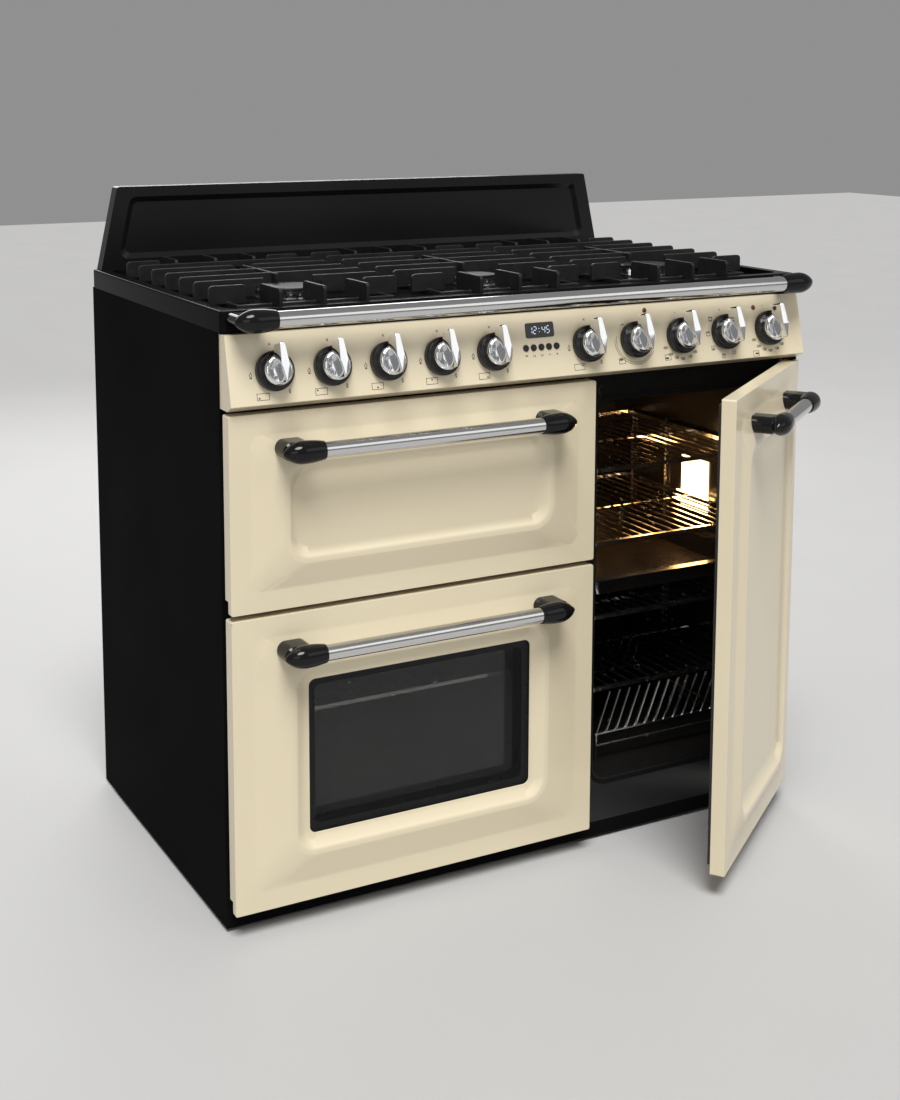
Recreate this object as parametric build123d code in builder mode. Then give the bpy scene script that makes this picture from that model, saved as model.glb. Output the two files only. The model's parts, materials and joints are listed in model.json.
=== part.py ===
from build123d import *
import os
from collections import namedtuple
from math import atan2, cos, pi, sin

# Range cooker, 100 cm wide: six-burner gas hob, grill oven, main oven, tall oven, front towel rail.
# Millimetres. X runs to the right, Y to the back and Z up. The origin is on the floor, under the middle
# of the cabinet. The tall oven's door stands ajar, every other moving piece is shut or at zero.

os.makedirs("parts", exist_ok=True)

# Cabinet
WIDTH = 1000.0
CABINET_FRONT = -278.0
CABINET_BACK = 300.0
SHEET = 1.5
PANEL_FOOT = 6.0
SIDE_FLANGE = 10.0
BASE_HEIGHT = 30.0
BASE_FLANGE = 20.0
FRAME_TOP = 766.0
PLINTH_RETURN = 26.0

# Feet
FOOT_RADIUS = 22.0
FOOT_PAD = 10.0
FOOT_STEM_RADIUS = 6.0
FOOT_INSET = 70.0

# Hob
HOB_TOP = 900.0
HOB_SKIRT = 30.0
HOB_FRONT = -292.0
HOB_SHEET = 2.0
HOB_RIM = 18.0
HOB_DISH = 10.0
HOB_CORNER = 8.0
HOB_DISH_CORNER = 22.0
HOB_EDGE_ROUND = 3.0

# Splashback
SPLASH_HEIGHT = 137.0
SPLASH_DEPTH = 25.0
SPLASH_FOOT_INSET = 8.0
SPLASH_TOP_INSET = 38.0
SPLASH_ROUND = 5.0
SPLASH_PANEL_SIDE = 26.0
SPLASH_PANEL_END = 17.0
SPLASH_PANEL_DEPTH = 4.0
SPLASH_BEVEL = 9.0
SPLASH_PANEL_CORNER = 14.0

# Control panel
FASCIA_BOTTOM = 764.0
FASCIA_TOP = 868.0
FASCIA_SIDE_GAP = 2.0
FASCIA_TOP_REACH = 20.0
FASCIA_LIP_REACH = 42.0
FASCIA_LIP_HEIGHT = 8.0
FASCIA_LIP_SETBACK = 15.0

# Knobs and their taps and switches
KNOB_HEIGHT = 816.0
KNOB_END_INSET = 69.0
KNOB_INNER = 83.0
KNOBS_PER_SIDE = 5
GAS_KNOBS = 6
BEZEL_RADIUS = 28.0
BEZEL_THICKNESS = 10.5
BEZEL_EDGE = 2.0
KNOB_CLEARANCE = 0.4
KNOB_RADIUS = 20.8
KNOB_BODY = 12.5
KNOB_BODY_ROUND = 4.5
KNOB_DISH = 3.0
KNOB_DISH_RADIUS = 8.0
KNOB_FRONT = 45.0
KNOB_TIP_FRONT = 40.0
KNOB_POINTER = 37.0
KNOB_RIDGE = 4.0
KNOB_HEEL = 18.0
KNOB_TIP_WIDTH = 8.4
KNOB_RIDGE_WIDTH = 12.8
KNOB_HEEL_WIDTH = 3.0
KNOB_GRIP_LAP = 2.0
KNOB_GRIP_EDGE = 1.2
SPINDLE_RADIUS = 4.0
SPINDLE_REACH = 18.0
SPINDLE_CLEARANCE = 0.05
SPINDLE_HOLE = 6.0
TAP_RADIUS = 13.0
SWITCH_RADIUS = 18.0
TAP_DEPTH = 34.0
MANIFOLD_RADIUS = 8.0
MANIFOLD_DEPTH = 38.0
MANIFOLD_BEND = 40.0
MANIFOLD_END = 25.0
INLET_INSET = 30.0
INLET_RADIUS = 10.48
INLET_REACH = 22.0
INLET_COLLAR_RADIUS = 14.0
INLET_COLLAR = 8.0
INLET_HOLE = 12.0

# Clock
CLOCK_HEIGHT = 842.0
CLOCK_WIDTH = 49.0
CLOCK_TALL = 22.0
CLOCK_CORNER = 3.0
CLOCK_PROUD = 1.0
CLOCK_DEPTH = 20.0
CLOCK_FLANGE = 4.0
BUTTON_HEIGHT = 817.0
BUTTON_PITCH = 13.4
BUTTON_COUNT = 5
BUTTON_RADIUS = 4.7
BUTTON_CLEARANCE = 0.1
BUTTON_PROUD = 2.4
BUTTON_EDGE = 0.8
BUTTON_COLLAR = 1.0
BUTTON_COLLAR_THICKNESS = 2.4
BUTTON_COLLAR_GAP = 0.3

# Doors
DOOR_SIDE_GAP = 2.0
DOOR_BOTTOM = 37.0
DOOR_TOP = 758.0
SPLIT_X = 102.0
SPLIT_GAP = 4.0
SPLIT_Z = 473.0
SPLIT_Z_GAP = 8.0
DOOR_FACE = -309.0
DOOR_SKIN_REAR = -287.0
DOOR_LINER_REAR = -280.5
DOOR_CORNER = 3.0
DOOR_LIP = 14.0
RELIEF_DEPTH = 11.0
RELIEF_TALL = 19.0
LINER_INSET = 10.0
FIELD_INSET = 28.0
FIELD_CORNER = 20.0
CREST_RISE = 9.0
CREST_WIDTH = 8.0
BEVEL = 14.0
BEVEL_DEPTH = 8.0
PANEL_CORNER = 16.0
GRILL_PANEL_INSET = 100.0
TALL_PANEL_INSET = 78.0
GRILL_PANEL_END_INSET = 86.0
TALL_PANEL_TOP_INSET = 97.0
TALL_PANEL_BOTTOM_INSET = 77.0
CREST_ROUND = 10.0
PLUG_INSET = 14.0
PLUG_TAPER = 6.0
PLUG_DEPTH = 6.5
PLUG_CORNER = 22.0
TALL_DOOR_AJAR = 36.5

# Window of the main oven's door
WINDOW_WIDTH = 368.0
WINDOW_TALL = 230.0
WINDOW_CORNER = 10.0
WINDOW_RIM = 8.0
GLASS = 4.0
GLASS_LAP = 8.0
INNER_WINDOW_GROW = 10.0
INNER_GLASS_LAP = 12.0

# Hinges
PIVOT_Y = -298.0
DROP_PIVOT_RISE = 12.0
DROP_HINGE_INSET = 60.0
TALL_PIVOT_INSET = 8.0
PIN_RADIUS = 3.0
PIN_CLEARANCE = 0.05
HINGE_PLATE = 4.0
HINGE_ARM = 9.0
HINGE_BOX_HALF = 12.0
HINGE_PIN_HALF = 11.5
HINGE_SLOT_GAP = 1.0
HINGE_BOX_RISE = 24.0
HINGE_BOX_GAP = 1.0
HINGE_BOX_DROP = 5.5
TALL_PLATE = 3.0
TALL_PLATE_GAP = 1.5
TALL_PLATE_HALF = 9.0
TALL_PIN = 16.0
TALL_BOX = 18.0

# Bar handles and towel rail
BAR_RADIUS = 11.5
BAR_STANDOFF = 42.0
BAR_DROP = 50.0
LEFT_BAR_SPAN = 353.0
TALL_BAR_SPAN = 132.0
RAIL_RADIUS = 12.0
RAIL_STANDOFF = 43.0
RAIL_HEIGHT = 890.0
RAIL_INSET = 63.0
HORN_SOCKET = 8.0
HORN_MOUTH_WALL = 1.6
HORN_BELLY_WALL = 4.6
HORN_BELLY = 20.0
HORN_LENGTH = 44.0
HORN_SHOULDER = 40.0
HORN_SHOULDER_SHARE = 0.74
HORN_TIP = 2.0
POST_BACK = 26.0
POST_WIDTH = 46.0
POST_TALL = 26.0
POST_FRONT = 5.0
POST_EDGE = 4.0
RAIL_POST_TALL = 16.0

# Ovens
CAVITY_BACK = 180.0
CAVITY_CORNER = 25.0
CAVITY_FOLD = 14.0
LEFT_OVEN_INSET = 49.0
GRILL_OVEN_INSET = 26.0
MAIN_OVEN_TOP_INSET = 36.0
MAIN_OVEN_BOTTOM_INSET = 46.0
TALL_OVEN_INSET = 21.0
TALL_OVEN_TOP_INSET = 41.0
TALL_OVEN_BOTTOM_INSET = 63.0
SEAL_OFFSET = 2.0
SEAL_WIDTH = 7.0
SEAL_THICKNESS = 1.9

# Shelves, guides and what stands on them
WIRE_SIDES = 6
GUIDE_WIRE = 2.6
GUIDE_STAND = 3.5
GUIDE_WELD = 1.2
SHELF_LAP = 0.6
GUIDE_FRONT = -235.0
GUIDE_MIDDLE = 12.0
GUIDE_REAR = 115.0
GUIDE_OVERHANG = 12.0
SHELF_FRAME = 6.0
SHELF_CORNER = 12.0
SHELF_WIRE = 1.9
SHELF_WIRE_PITCH = 21.0
SHELF_FRONT = -255.0
SHELF_REAR = 125.0
SHELF_SEAT = 0.3
TALL_SHELVES = (240.0, 360.0, 481.0, 600.0)
MAIN_SHELVES = (300.0,)
GRILL_SHELVES = (590.0,)
TRAY_LEVEL = 420.0
TRAY_DEPTH = 30.0
TRAY_RIM = 14.0
TRAY_CORNER = 14.0
TRAY_TAPER = 8.0
RACK_WIRE = 2.4
RACK_FRONT = -215.0
RACK_REAR = 20.0
RACK_PRONGS = 14
RACK_PITCH = 19.6
RACK_HEIGHT = 46.0
RACK_TOP = 132.0
RACK_LEAN = -37.0
RACK_SILL = 21.0

# Heat, air and light
FAN_RADIUS = 60.0
FAN_DEPTH = 18.0
FAN_DISC = 1.5
FAN_HUB = 12.0
FAN_BLADES = 14
FAN_BLADE_LENGTH = 20.0
FAN_BLADE = 1.6
FAN_FRONT = 150.0
FAN_SHAFT = 4.0
FAN_SHAFT_HOLE = 6.0
MOTOR_RADIUS = 32.0
MOTOR_LENGTH = 50.0
MOTOR_FLANGE_RADIUS = 45.0
MOTOR_FLANGE = 2.0
COVER_HALF = 108.0
COVER_FRONT = 140.0
COVER_CORNER = 18.0
COVER_SLOT_RADIUS = 78.0
COVER_SLOTS = 16
COVER_SLOT_WIDTH = 6.0
COVER_SLOT_LENGTH = 24.0
ELEMENT_RADIUS = 3.6
ELEMENT_SIDES = 8
ELEMENT_RING = 84.0
ELEMENT_Y = 162.0
GRILL_ELEMENT_DROP = 24.0
GRILL_ELEMENT_FRONT = -190.0
GRILL_ELEMENT_BACK = 120.0
GRILL_ELEMENT_PITCH = 96.0
GRILL_ELEMENT_BEND = 30.0
LAMP_Y = -72.0
LAMP_Z = 502.5
LAMP_WIDTH = 74.0
LAMP_TALL = 91.0
LAMP_PROUD = 4.5
LAMP_ROUND = 3.0

# Burners and pan supports
BURNER_FRONT = -115.0
BURNER_REAR = 95.0
LARGE_BURNER = 46.0
SMALL_BURNER = 34.0
BURNER_CUP_DROP = 22.0
BURNER_CUP_SHARE = 0.62
BURNER_FLANGE = 5.0
BURNER_FLANGE_THICKNESS = 2.5
BURNER_CROWN = 10.0
BURNER_PORTS = 20
BURNER_PORT_WIDTH = 2.4
BURNER_PORT_DEPTH = 5.0
CAP_INSET = 3.0
CAP_THICKNESS = 5.0
CAP_EDGE = 1.6
SUPPORT_END_INSET = 25.0
SUPPORT_BREAK = 25.0
SUPPORT_FRONT = -250.0
SUPPORT_REAR = 256.0
SUPPORT_TOP = 921.0
FINGER = 5.6
FINGER_PITCH = 62.0
FINGER_ROWS = 7
FINGER_MIDDLE = 7.0
FINGER_CLEAR_FRONT = 40.0
FINGER_CLEAR_REAR = 32.0
FINGER_ROUND = 6.0
CROSS_PITCH = 68.0
BASE_BAR = 7.0
BASE_BAR_INSET = 26.0
FINGER_LIFT = 4.0
STUB = 57.0
CROSS_LENGTH = 74.0
SUPPORT_GAP = 3.0

# Rear services
GLAND_INSET = 120.0
GLAND_Z = 140.0
GLAND_RADIUS = 13.0
GLAND_BORE = 7.0
GLAND_REACH = 12.0
CHAIN_HOLE_RADIUS = 3.3
CHAIN_HOLE_INSET = 40.0
CHAIN_HOLE_Z = 820.0
VENT_ROWS = 5
VENT_COLUMNS = 12
VENT_PITCH_X = 52.0
VENT_PITCH_Z = 16.0
VENT_LENGTH = 36.0
VENT_WIDTH = 6.0
VENT_Z = 640.0


# Shared shapes
class Region(namedtuple("Region", "left right bottom top")):
    """Upright rectangle, seen from the front."""

    @property
    def width(self):
        return self.right - self.left

    @property
    def tall(self):
        return self.top - self.bottom

    @property
    def middle(self):
        return (self.left + self.right) / 2, (self.bottom + self.top) / 2

    def grow(self, side, end=None):
        end = side if end is None else end
        return Region(self.left - side, self.right + side, self.bottom - end, self.top + end)


def front_plane(y):
    """Upright plane at depth y that faces the user: its x is X and its y is Z."""
    return Plane.XZ.offset(-y)


def outline(region, corner=0.0):
    """Rectangle, with rounded corners if any, in the open sketch."""
    with Locations(region.middle):
        if corner > 0:
            RectangleRounded(region.width, region.tall, corner)
        else:
            Rectangle(region.width, region.tall)


def slab(region, rear, front, corner=0.0, mode=Mode.ADD):
    """Upright slab between two depths, in the open part."""
    with BuildSketch(front_plane(rear)) as face:
        outline(region, corner)
    extrude(face.sketch, amount=rear - front, mode=mode)


def frustum(rear_region, rear, rear_corner, front_region, front, front_corner, mode=Mode.ADD):
    """Slab whose outline changes evenly from one depth to the other, in the open part."""
    with BuildSketch(front_plane(rear)) as rear_face:
        outline(rear_region, rear_corner)
    with BuildSketch(front_plane(front)) as front_face:
        outline(front_region, front_corner)
    loft([rear_face.sketch, front_face.sketch], ruled=True, mode=mode)


def block(low, high, mode=Mode.ADD):
    """Box between two opposite corners, in the open part."""
    middle = tuple((a + b) / 2 for a, b in zip(low, high))
    with Locations(middle):
        Box(high[0] - low[0], high[1] - low[1], high[2] - low[2], mode=mode)


def rod(start, end, radius, mode=Mode.ADD):
    """Round bar between two points, in the open part."""
    run = Vector(*end) - Vector(*start)
    with BuildSketch(Plane(origin=start, z_dir=run)) as end_face:
        Circle(radius)
    extrude(end_face.sketch, amount=run.length, mode=mode)


def wire(start, end, radius):
    """Straight thin wire with flats between two points, in the open part."""
    run = Vector(*end) - Vector(*start)
    with BuildSketch(Plane(origin=start, z_dir=run)) as end_face:
        RegularPolygon(radius, WIRE_SIDES)
    extrude(end_face.sketch, amount=run.length)


def keep(part, name):
    """Label a finished piece and write it out."""
    part.label = name
    export_step(part, f"parts/{name}.step")


# Places that several pieces share
half_width = WIDTH / 2
inner_half = half_width - SHEET
frame_half = half_width - SIDE_FLANGE
frame_rear = CABINET_FRONT + SHEET
back_inner = CABINET_BACK - SHEET
hob_bottom = HOB_TOP - HOB_SKIRT
dish_floor = HOB_TOP - HOB_DISH
door_half = half_width - DOOR_SIDE_GAP
inlet_x = INLET_INSET - half_width
gland_x = half_width - GLAND_INSET
chain_hole_x = half_width - CHAIN_HOLE_INSET

grill_door = Region(-door_half, SPLIT_X - SPLIT_GAP / 2, SPLIT_Z + SPLIT_Z_GAP / 2, DOOR_TOP)
main_door = Region(-door_half, SPLIT_X - SPLIT_GAP / 2, DOOR_BOTTOM, SPLIT_Z - SPLIT_Z_GAP / 2)
tall_door = Region(SPLIT_X + SPLIT_GAP / 2, door_half, DOOR_BOTTOM, DOOR_TOP)

grill_oven = grill_door.grow(-LEFT_OVEN_INSET, -GRILL_OVEN_INSET)
main_oven = Region(
    main_door.left + LEFT_OVEN_INSET,
    main_door.right - LEFT_OVEN_INSET,
    main_door.bottom + MAIN_OVEN_BOTTOM_INSET,
    main_door.top - MAIN_OVEN_TOP_INSET,
)
tall_oven = Region(
    tall_door.left + TALL_OVEN_INSET,
    tall_door.right - TALL_OVEN_INSET,
    tall_door.bottom + TALL_OVEN_BOTTOM_INSET,
    tall_door.top - TALL_OVEN_TOP_INSET,
)
ovens = (grill_oven, main_oven, tall_oven)
fan_ovens = (main_oven, tall_oven)

# The control panel's face leans back from its lip to its top edge.
fascia_top_y = CABINET_FRONT - FASCIA_TOP_REACH
fascia_lip_y = CABINET_FRONT - FASCIA_LIP_REACH
fascia_lip_z = FASCIA_BOTTOM + FASCIA_LIP_HEIGHT
fascia_lean = atan2(fascia_top_y - fascia_lip_y, FASCIA_TOP - fascia_lip_z)
fascia_normal = (0, -cos(fascia_lean), sin(fascia_lean))


def fascia_plane(x, z):
    """Plane on the control panel's face, with its x along X and its z out of the face."""
    y = fascia_top_y - (FASCIA_TOP - z) * sin(fascia_lean) / cos(fascia_lean)
    return Plane(origin=(x, y, z), x_dir=(1, 0, 0), z_dir=fascia_normal)


knob_pitch = (half_width - KNOB_END_INSET - KNOB_INNER) / (KNOBS_PER_SIDE - 1)
right_knobs = [KNOB_INNER + knob_pitch * i for i in range(KNOBS_PER_SIDE)]
knob_places = [-x for x in reversed(right_knobs)] + right_knobs
knob_planes = [fascia_plane(x, KNOB_HEIGHT) for x in knob_places]
button_places = [BUTTON_PITCH * (i - (BUTTON_COUNT - 1) / 2) for i in range(BUTTON_COUNT)]
button_planes = [fascia_plane(x, BUTTON_HEIGHT) for x in button_places]
clock_plane = fascia_plane(0, CLOCK_HEIGHT)

manifold_line = fascia_plane(0, KNOB_HEIGHT).offset(-MANIFOLD_DEPTH).origin
support_half = (WIDTH - 2 * SUPPORT_END_INSET - 2 * SUPPORT_BREAK) / 6
support_pitch = 2 * support_half + SUPPORT_BREAK
support_middles = (-support_pitch, 0.0, support_pitch)
burners = [
    (-support_pitch, BURNER_FRONT, LARGE_BURNER),
    (-support_pitch, BURNER_REAR, SMALL_BURNER),
    (0.0, BURNER_FRONT, SMALL_BURNER),
    (0.0, BURNER_REAR, SMALL_BURNER),
    (support_pitch, BURNER_FRONT, LARGE_BURNER),
    (support_pitch, BURNER_REAR, SMALL_BURNER),
]


# Cabinet: side panels with folded front edges
with BuildPart() as side_panels:
    for side in (-1, 1):
        outer = side * half_width
        inner = side * inner_half
        fold = side * frame_half
        block(
            (min(outer, inner), CABINET_FRONT, PANEL_FOOT),
            (max(outer, inner), CABINET_BACK, hob_bottom),
        )
        block(
            (min(outer, fold), CABINET_FRONT, PANEL_FOOT),
            (max(outer, fold), frame_rear, hob_bottom),
        )
keep(side_panels.part, "side_panels")

# Base tray with turned-up edges, which the feet carry
with BuildPart() as base_tray:
    block((-inner_half, frame_rear, BASE_HEIGHT), (inner_half, back_inner, BASE_HEIGHT + BASE_FLANGE))
    block(
        (-inner_half + SHEET, frame_rear + SHEET, BASE_HEIGHT + SHEET),
        (inner_half - SHEET, back_inner - SHEET, BASE_HEIGHT + BASE_FLANGE),
        Mode.SUBTRACT,
    )
keep(base_tray.part, "base_tray")

# Adjustable feet: a pad on a threaded stem
foot_x = half_width - FOOT_INSET
foot_y = (CABINET_BACK - CABINET_FRONT) / 2 - FOOT_INSET
foot_middle = (CABINET_BACK + CABINET_FRONT) / 2
with BuildPart() as feet:
    with BuildSketch():
        with Locations((0, foot_middle)):
            with GridLocations(2 * foot_x, 2 * foot_y, 2, 2):
                Circle(FOOT_RADIUS)
    extrude(amount=FOOT_PAD)
    with BuildSketch(Plane.XY.offset(FOOT_PAD)):
        with Locations((0, foot_middle)):
            with GridLocations(2 * foot_x, 2 * foot_y, 2, 2):
                Circle(FOOT_STEM_RADIUS)
    extrude(amount=BASE_HEIGHT - FOOT_PAD)
keep(feet.part, "feet")

# Plinth under the doors, folded back under the base
with BuildPart() as plinth:
    block((-frame_half, CABINET_FRONT, PANEL_FOOT), (frame_half, frame_rear, BASE_HEIGHT))
    block(
        (-frame_half, frame_rear, BASE_HEIGHT - SHEET),
        (frame_half, frame_rear + PLINTH_RETURN, BASE_HEIGHT),
    )
keep(plinth.part, "plinth")

# Front frame with the three oven mouths
with BuildPart() as front_frame:
    slab(Region(-frame_half, frame_half, BASE_HEIGHT, FRAME_TOP), frame_rear, CABINET_FRONT)
    for oven in ovens:
        slab(oven, frame_rear, CABINET_FRONT, CAVITY_CORNER, Mode.SUBTRACT)
keep(front_frame.part, "front_frame")

# Back panel with vents, the gas inlet's hole, the cable gland and two holes for the anti-tip chains
back_region = Region(-inner_half, inner_half, BASE_HEIGHT, hob_bottom)
with BuildPart() as back_panel:
    slab(back_region, CABINET_BACK, back_inner)
    with BuildSketch(front_plane(CABINET_BACK)):
        with Locations((0, VENT_Z)):
            with GridLocations(VENT_PITCH_X, VENT_PITCH_Z, VENT_COLUMNS, VENT_ROWS):
                Rectangle(VENT_LENGTH, VENT_WIDTH)
        with Locations((inlet_x, manifold_line.Z)):
            Circle(INLET_HOLE)
        with Locations((-chain_hole_x, CHAIN_HOLE_Z), (chain_hole_x, CHAIN_HOLE_Z)):
            Circle(CHAIN_HOLE_RADIUS)
    extrude(amount=SHEET, mode=Mode.SUBTRACT)
    rod((gland_x, back_inner, GLAND_Z), (gland_x, CABINET_BACK + GLAND_REACH, GLAND_Z), GLAND_RADIUS)
    rod(
        (gland_x, back_inner, GLAND_Z),
        (gland_x, CABINET_BACK + GLAND_REACH, GLAND_Z),
        GLAND_BORE,
        Mode.SUBTRACT,
    )
keep(back_panel.part, "back_panel")

# Hob: a pressed tray with a raised rim, a sunk dish and a skirt
hob_middle_y = (HOB_FRONT + CABINET_BACK) / 2
hob_depth = CABINET_BACK - HOB_FRONT


def hob_outline(inset, corner):
    """Outline of the hob drawn in by an inset, in the open sketch."""
    with Locations((0, hob_middle_y)):
        RectangleRounded(WIDTH - 2 * inset, hob_depth - 2 * inset, corner)


dish_rear = CABINET_BACK - SPLASH_DEPTH - HOB_RIM / 2
dish_front = HOB_FRONT + HOB_RIM
dish_half = half_width - HOB_RIM


def dish_outline(grow):
    """Outline of the sunk dish, in the open sketch."""
    with Locations((0, (dish_front + dish_rear) / 2)):
        RectangleRounded(
            2 * (dish_half + grow),
            dish_rear - dish_front + 2 * grow,
            HOB_DISH_CORNER + grow,
        )


with BuildPart() as hob_tray:
    with BuildSketch(Plane.XY.offset(hob_bottom)):
        hob_outline(0, HOB_CORNER)
    extrude(amount=HOB_SKIRT)
    fillet(hob_tray.faces().sort_by(Axis.Z)[-1].edges(), HOB_EDGE_ROUND)
    with BuildSketch(Plane.XY.offset(hob_bottom)):
        hob_outline(HOB_SHEET, HOB_CORNER - HOB_SHEET)
    extrude(amount=HOB_SKIRT - HOB_DISH - HOB_SHEET, mode=Mode.SUBTRACT)
    with BuildSketch(Plane.XY.offset(hob_bottom)):
        hob_outline(HOB_SHEET, HOB_CORNER - HOB_SHEET)
        with BuildSketch(mode=Mode.SUBTRACT):
            dish_outline(HOB_SHEET)
    extrude(amount=HOB_SKIRT - HOB_SHEET, mode=Mode.SUBTRACT)
    with BuildSketch(Plane.XY.offset(dish_floor)):
        dish_outline(0)
    extrude(amount=HOB_DISH, mode=Mode.SUBTRACT)
    for burner_x, burner_y, burner_radius in burners:
        with BuildSketch(Plane.XY.offset(dish_floor)):
            with Locations((burner_x, burner_y)):
                Circle(burner_radius * BURNER_CUP_SHARE)
        extrude(amount=-HOB_SHEET, mode=Mode.SUBTRACT)
keep(hob_tray.part, "hob_tray")

# Splashback: a leaning-sided box with a sunk panel in its front
splash_top = HOB_TOP + SPLASH_HEIGHT
splash_front = CABINET_BACK - SPLASH_DEPTH
splash_slope = (SPLASH_TOP_INSET - SPLASH_FOOT_INSET) / SPLASH_HEIGHT


def splash_half(z):
    """Half width of the splashback at a height."""
    return half_width - SPLASH_FOOT_INSET - (z - HOB_TOP) * splash_slope


def splash_outline(side, end):
    """Outline of the splashback drawn in by insets, in the open sketch."""
    low = HOB_TOP + end
    high = splash_top - end
    low_half = splash_half(low) - side
    high_half = splash_half(high) - side
    Polygon((-low_half, low), (low_half, low), (high_half, high), (-high_half, high), align=None)


with BuildPart() as backsplash:
    with BuildSketch(front_plane(CABINET_BACK)) as splash_sketch:
        splash_outline(0, 0)
        fillet(splash_sketch.vertices().sort_by(Axis.Y)[-2:], SPLASH_ROUND)
    extrude(amount=SPLASH_DEPTH)
    with BuildSketch(front_plane(CABINET_BACK)):
        splash_outline(HOB_SHEET, HOB_SHEET)
    extrude(amount=SPLASH_DEPTH - SPLASH_PANEL_DEPTH - HOB_SHEET, mode=Mode.SUBTRACT)
    with BuildSketch(front_plane(splash_front)) as mouth:
        splash_outline(SPLASH_PANEL_SIDE, SPLASH_PANEL_END)
        fillet(mouth.vertices(), SPLASH_PANEL_CORNER)
    with BuildSketch(front_plane(splash_front + SPLASH_PANEL_DEPTH)) as sunk:
        splash_outline(SPLASH_PANEL_SIDE + SPLASH_BEVEL, SPLASH_PANEL_END + SPLASH_BEVEL)
        fillet(sunk.vertices(), SPLASH_PANEL_CORNER - SPLASH_BEVEL / 2)
    loft(ruled=True, mode=Mode.SUBTRACT)
keep(backsplash.part, "backsplash")

# Control panel: a folded wedge, open at the back
fascia_half = half_width - FASCIA_SIDE_GAP


def fascia_profile(wall):
    """Side view of the control panel drawn in by its wall, in the open sketch."""
    run = wall / cos(fascia_lean)
    drop = wall * sin(fascia_lean) / cos(fascia_lean)
    Polygon(
        (CABINET_FRONT, FASCIA_BOTTOM + wall),
        (fascia_lip_y + FASCIA_LIP_SETBACK + wall, FASCIA_BOTTOM + wall),
        (fascia_lip_y + run, fascia_lip_z),
        (fascia_top_y + run - drop, FASCIA_TOP - wall),
        (CABINET_FRONT, FASCIA_TOP - wall),
        align=None,
    )


with BuildPart() as control_panel:
    with BuildSketch(Plane.YZ.offset(-fascia_half)):
        fascia_profile(0)
    extrude(amount=2 * fascia_half)
    with BuildSketch(Plane.YZ.offset(-fascia_half + SHEET)):
        fascia_profile(SHEET)
    extrude(amount=2 * (fascia_half - SHEET), mode=Mode.SUBTRACT)
    for plane in knob_planes:
        with BuildSketch(plane):
            Circle(SPINDLE_HOLE)
        extrude(amount=-2 * SHEET, mode=Mode.SUBTRACT)
    for plane in button_planes:
        with BuildSketch(plane):
            Circle(BUTTON_RADIUS + BUTTON_CLEARANCE)
        extrude(amount=-2 * SHEET, mode=Mode.SUBTRACT)
    with BuildSketch(clock_plane):
        RectangleRounded(CLOCK_WIDTH, CLOCK_TALL, CLOCK_CORNER)
    extrude(amount=-2 * SHEET, mode=Mode.SUBTRACT)
keep(control_panel.part, "control_panel")

# Clock: a display body behind the panel, with its window through it
with BuildPart() as clock_display:
    with BuildSketch(clock_plane.offset(-SHEET - CLOCK_DEPTH)):
        RectangleRounded(CLOCK_WIDTH + 2 * CLOCK_FLANGE, CLOCK_TALL + 2 * CLOCK_FLANGE, CLOCK_CORNER)
    extrude(amount=CLOCK_DEPTH)
    with BuildSketch(clock_plane.offset(-SHEET)):
        RectangleRounded(CLOCK_WIDTH, CLOCK_TALL, CLOCK_CORNER)
    extrude(amount=SHEET + CLOCK_PROUD)
keep(clock_display.part, "clock_display")

# Clock buttons: a cap with a collar behind the panel
with BuildPart() as button_form:
    Cylinder(
        BUTTON_RADIUS,
        SHEET + BUTTON_PROUD + BUTTON_COLLAR_GAP,
        align=(Align.CENTER, Align.CENTER, Align.MAX),
    )
    chamfer(button_form.edges().sort_by(Axis.Z)[-1], BUTTON_EDGE)
    with Locations((0, 0, -SHEET - BUTTON_PROUD - BUTTON_COLLAR_GAP)):
        Cylinder(
            BUTTON_RADIUS + BUTTON_COLLAR,
            BUTTON_COLLAR_THICKNESS,
            align=(Align.CENTER, Align.CENTER, Align.MAX),
        )
for number, plane in enumerate(button_planes, start=1):
    keep(button_form.part.moved(plane.offset(BUTTON_PROUD).location), f"clock_button_{number}")

# Knob bezels: black discs on the control panel
with BuildPart() as bezel_form:
    Cylinder(BEZEL_RADIUS, BEZEL_THICKNESS, align=(Align.CENTER, Align.CENTER, Align.MIN))
    chamfer(bezel_form.edges().sort_by(Axis.Z)[-1], BEZEL_EDGE)
    Hole(SPINDLE_HOLE)
knob_bezels = Compound(children=[bezel_form.part.moved(plane.location) for plane in knob_planes])
keep(knob_bezels, "knob_bezels")

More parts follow.
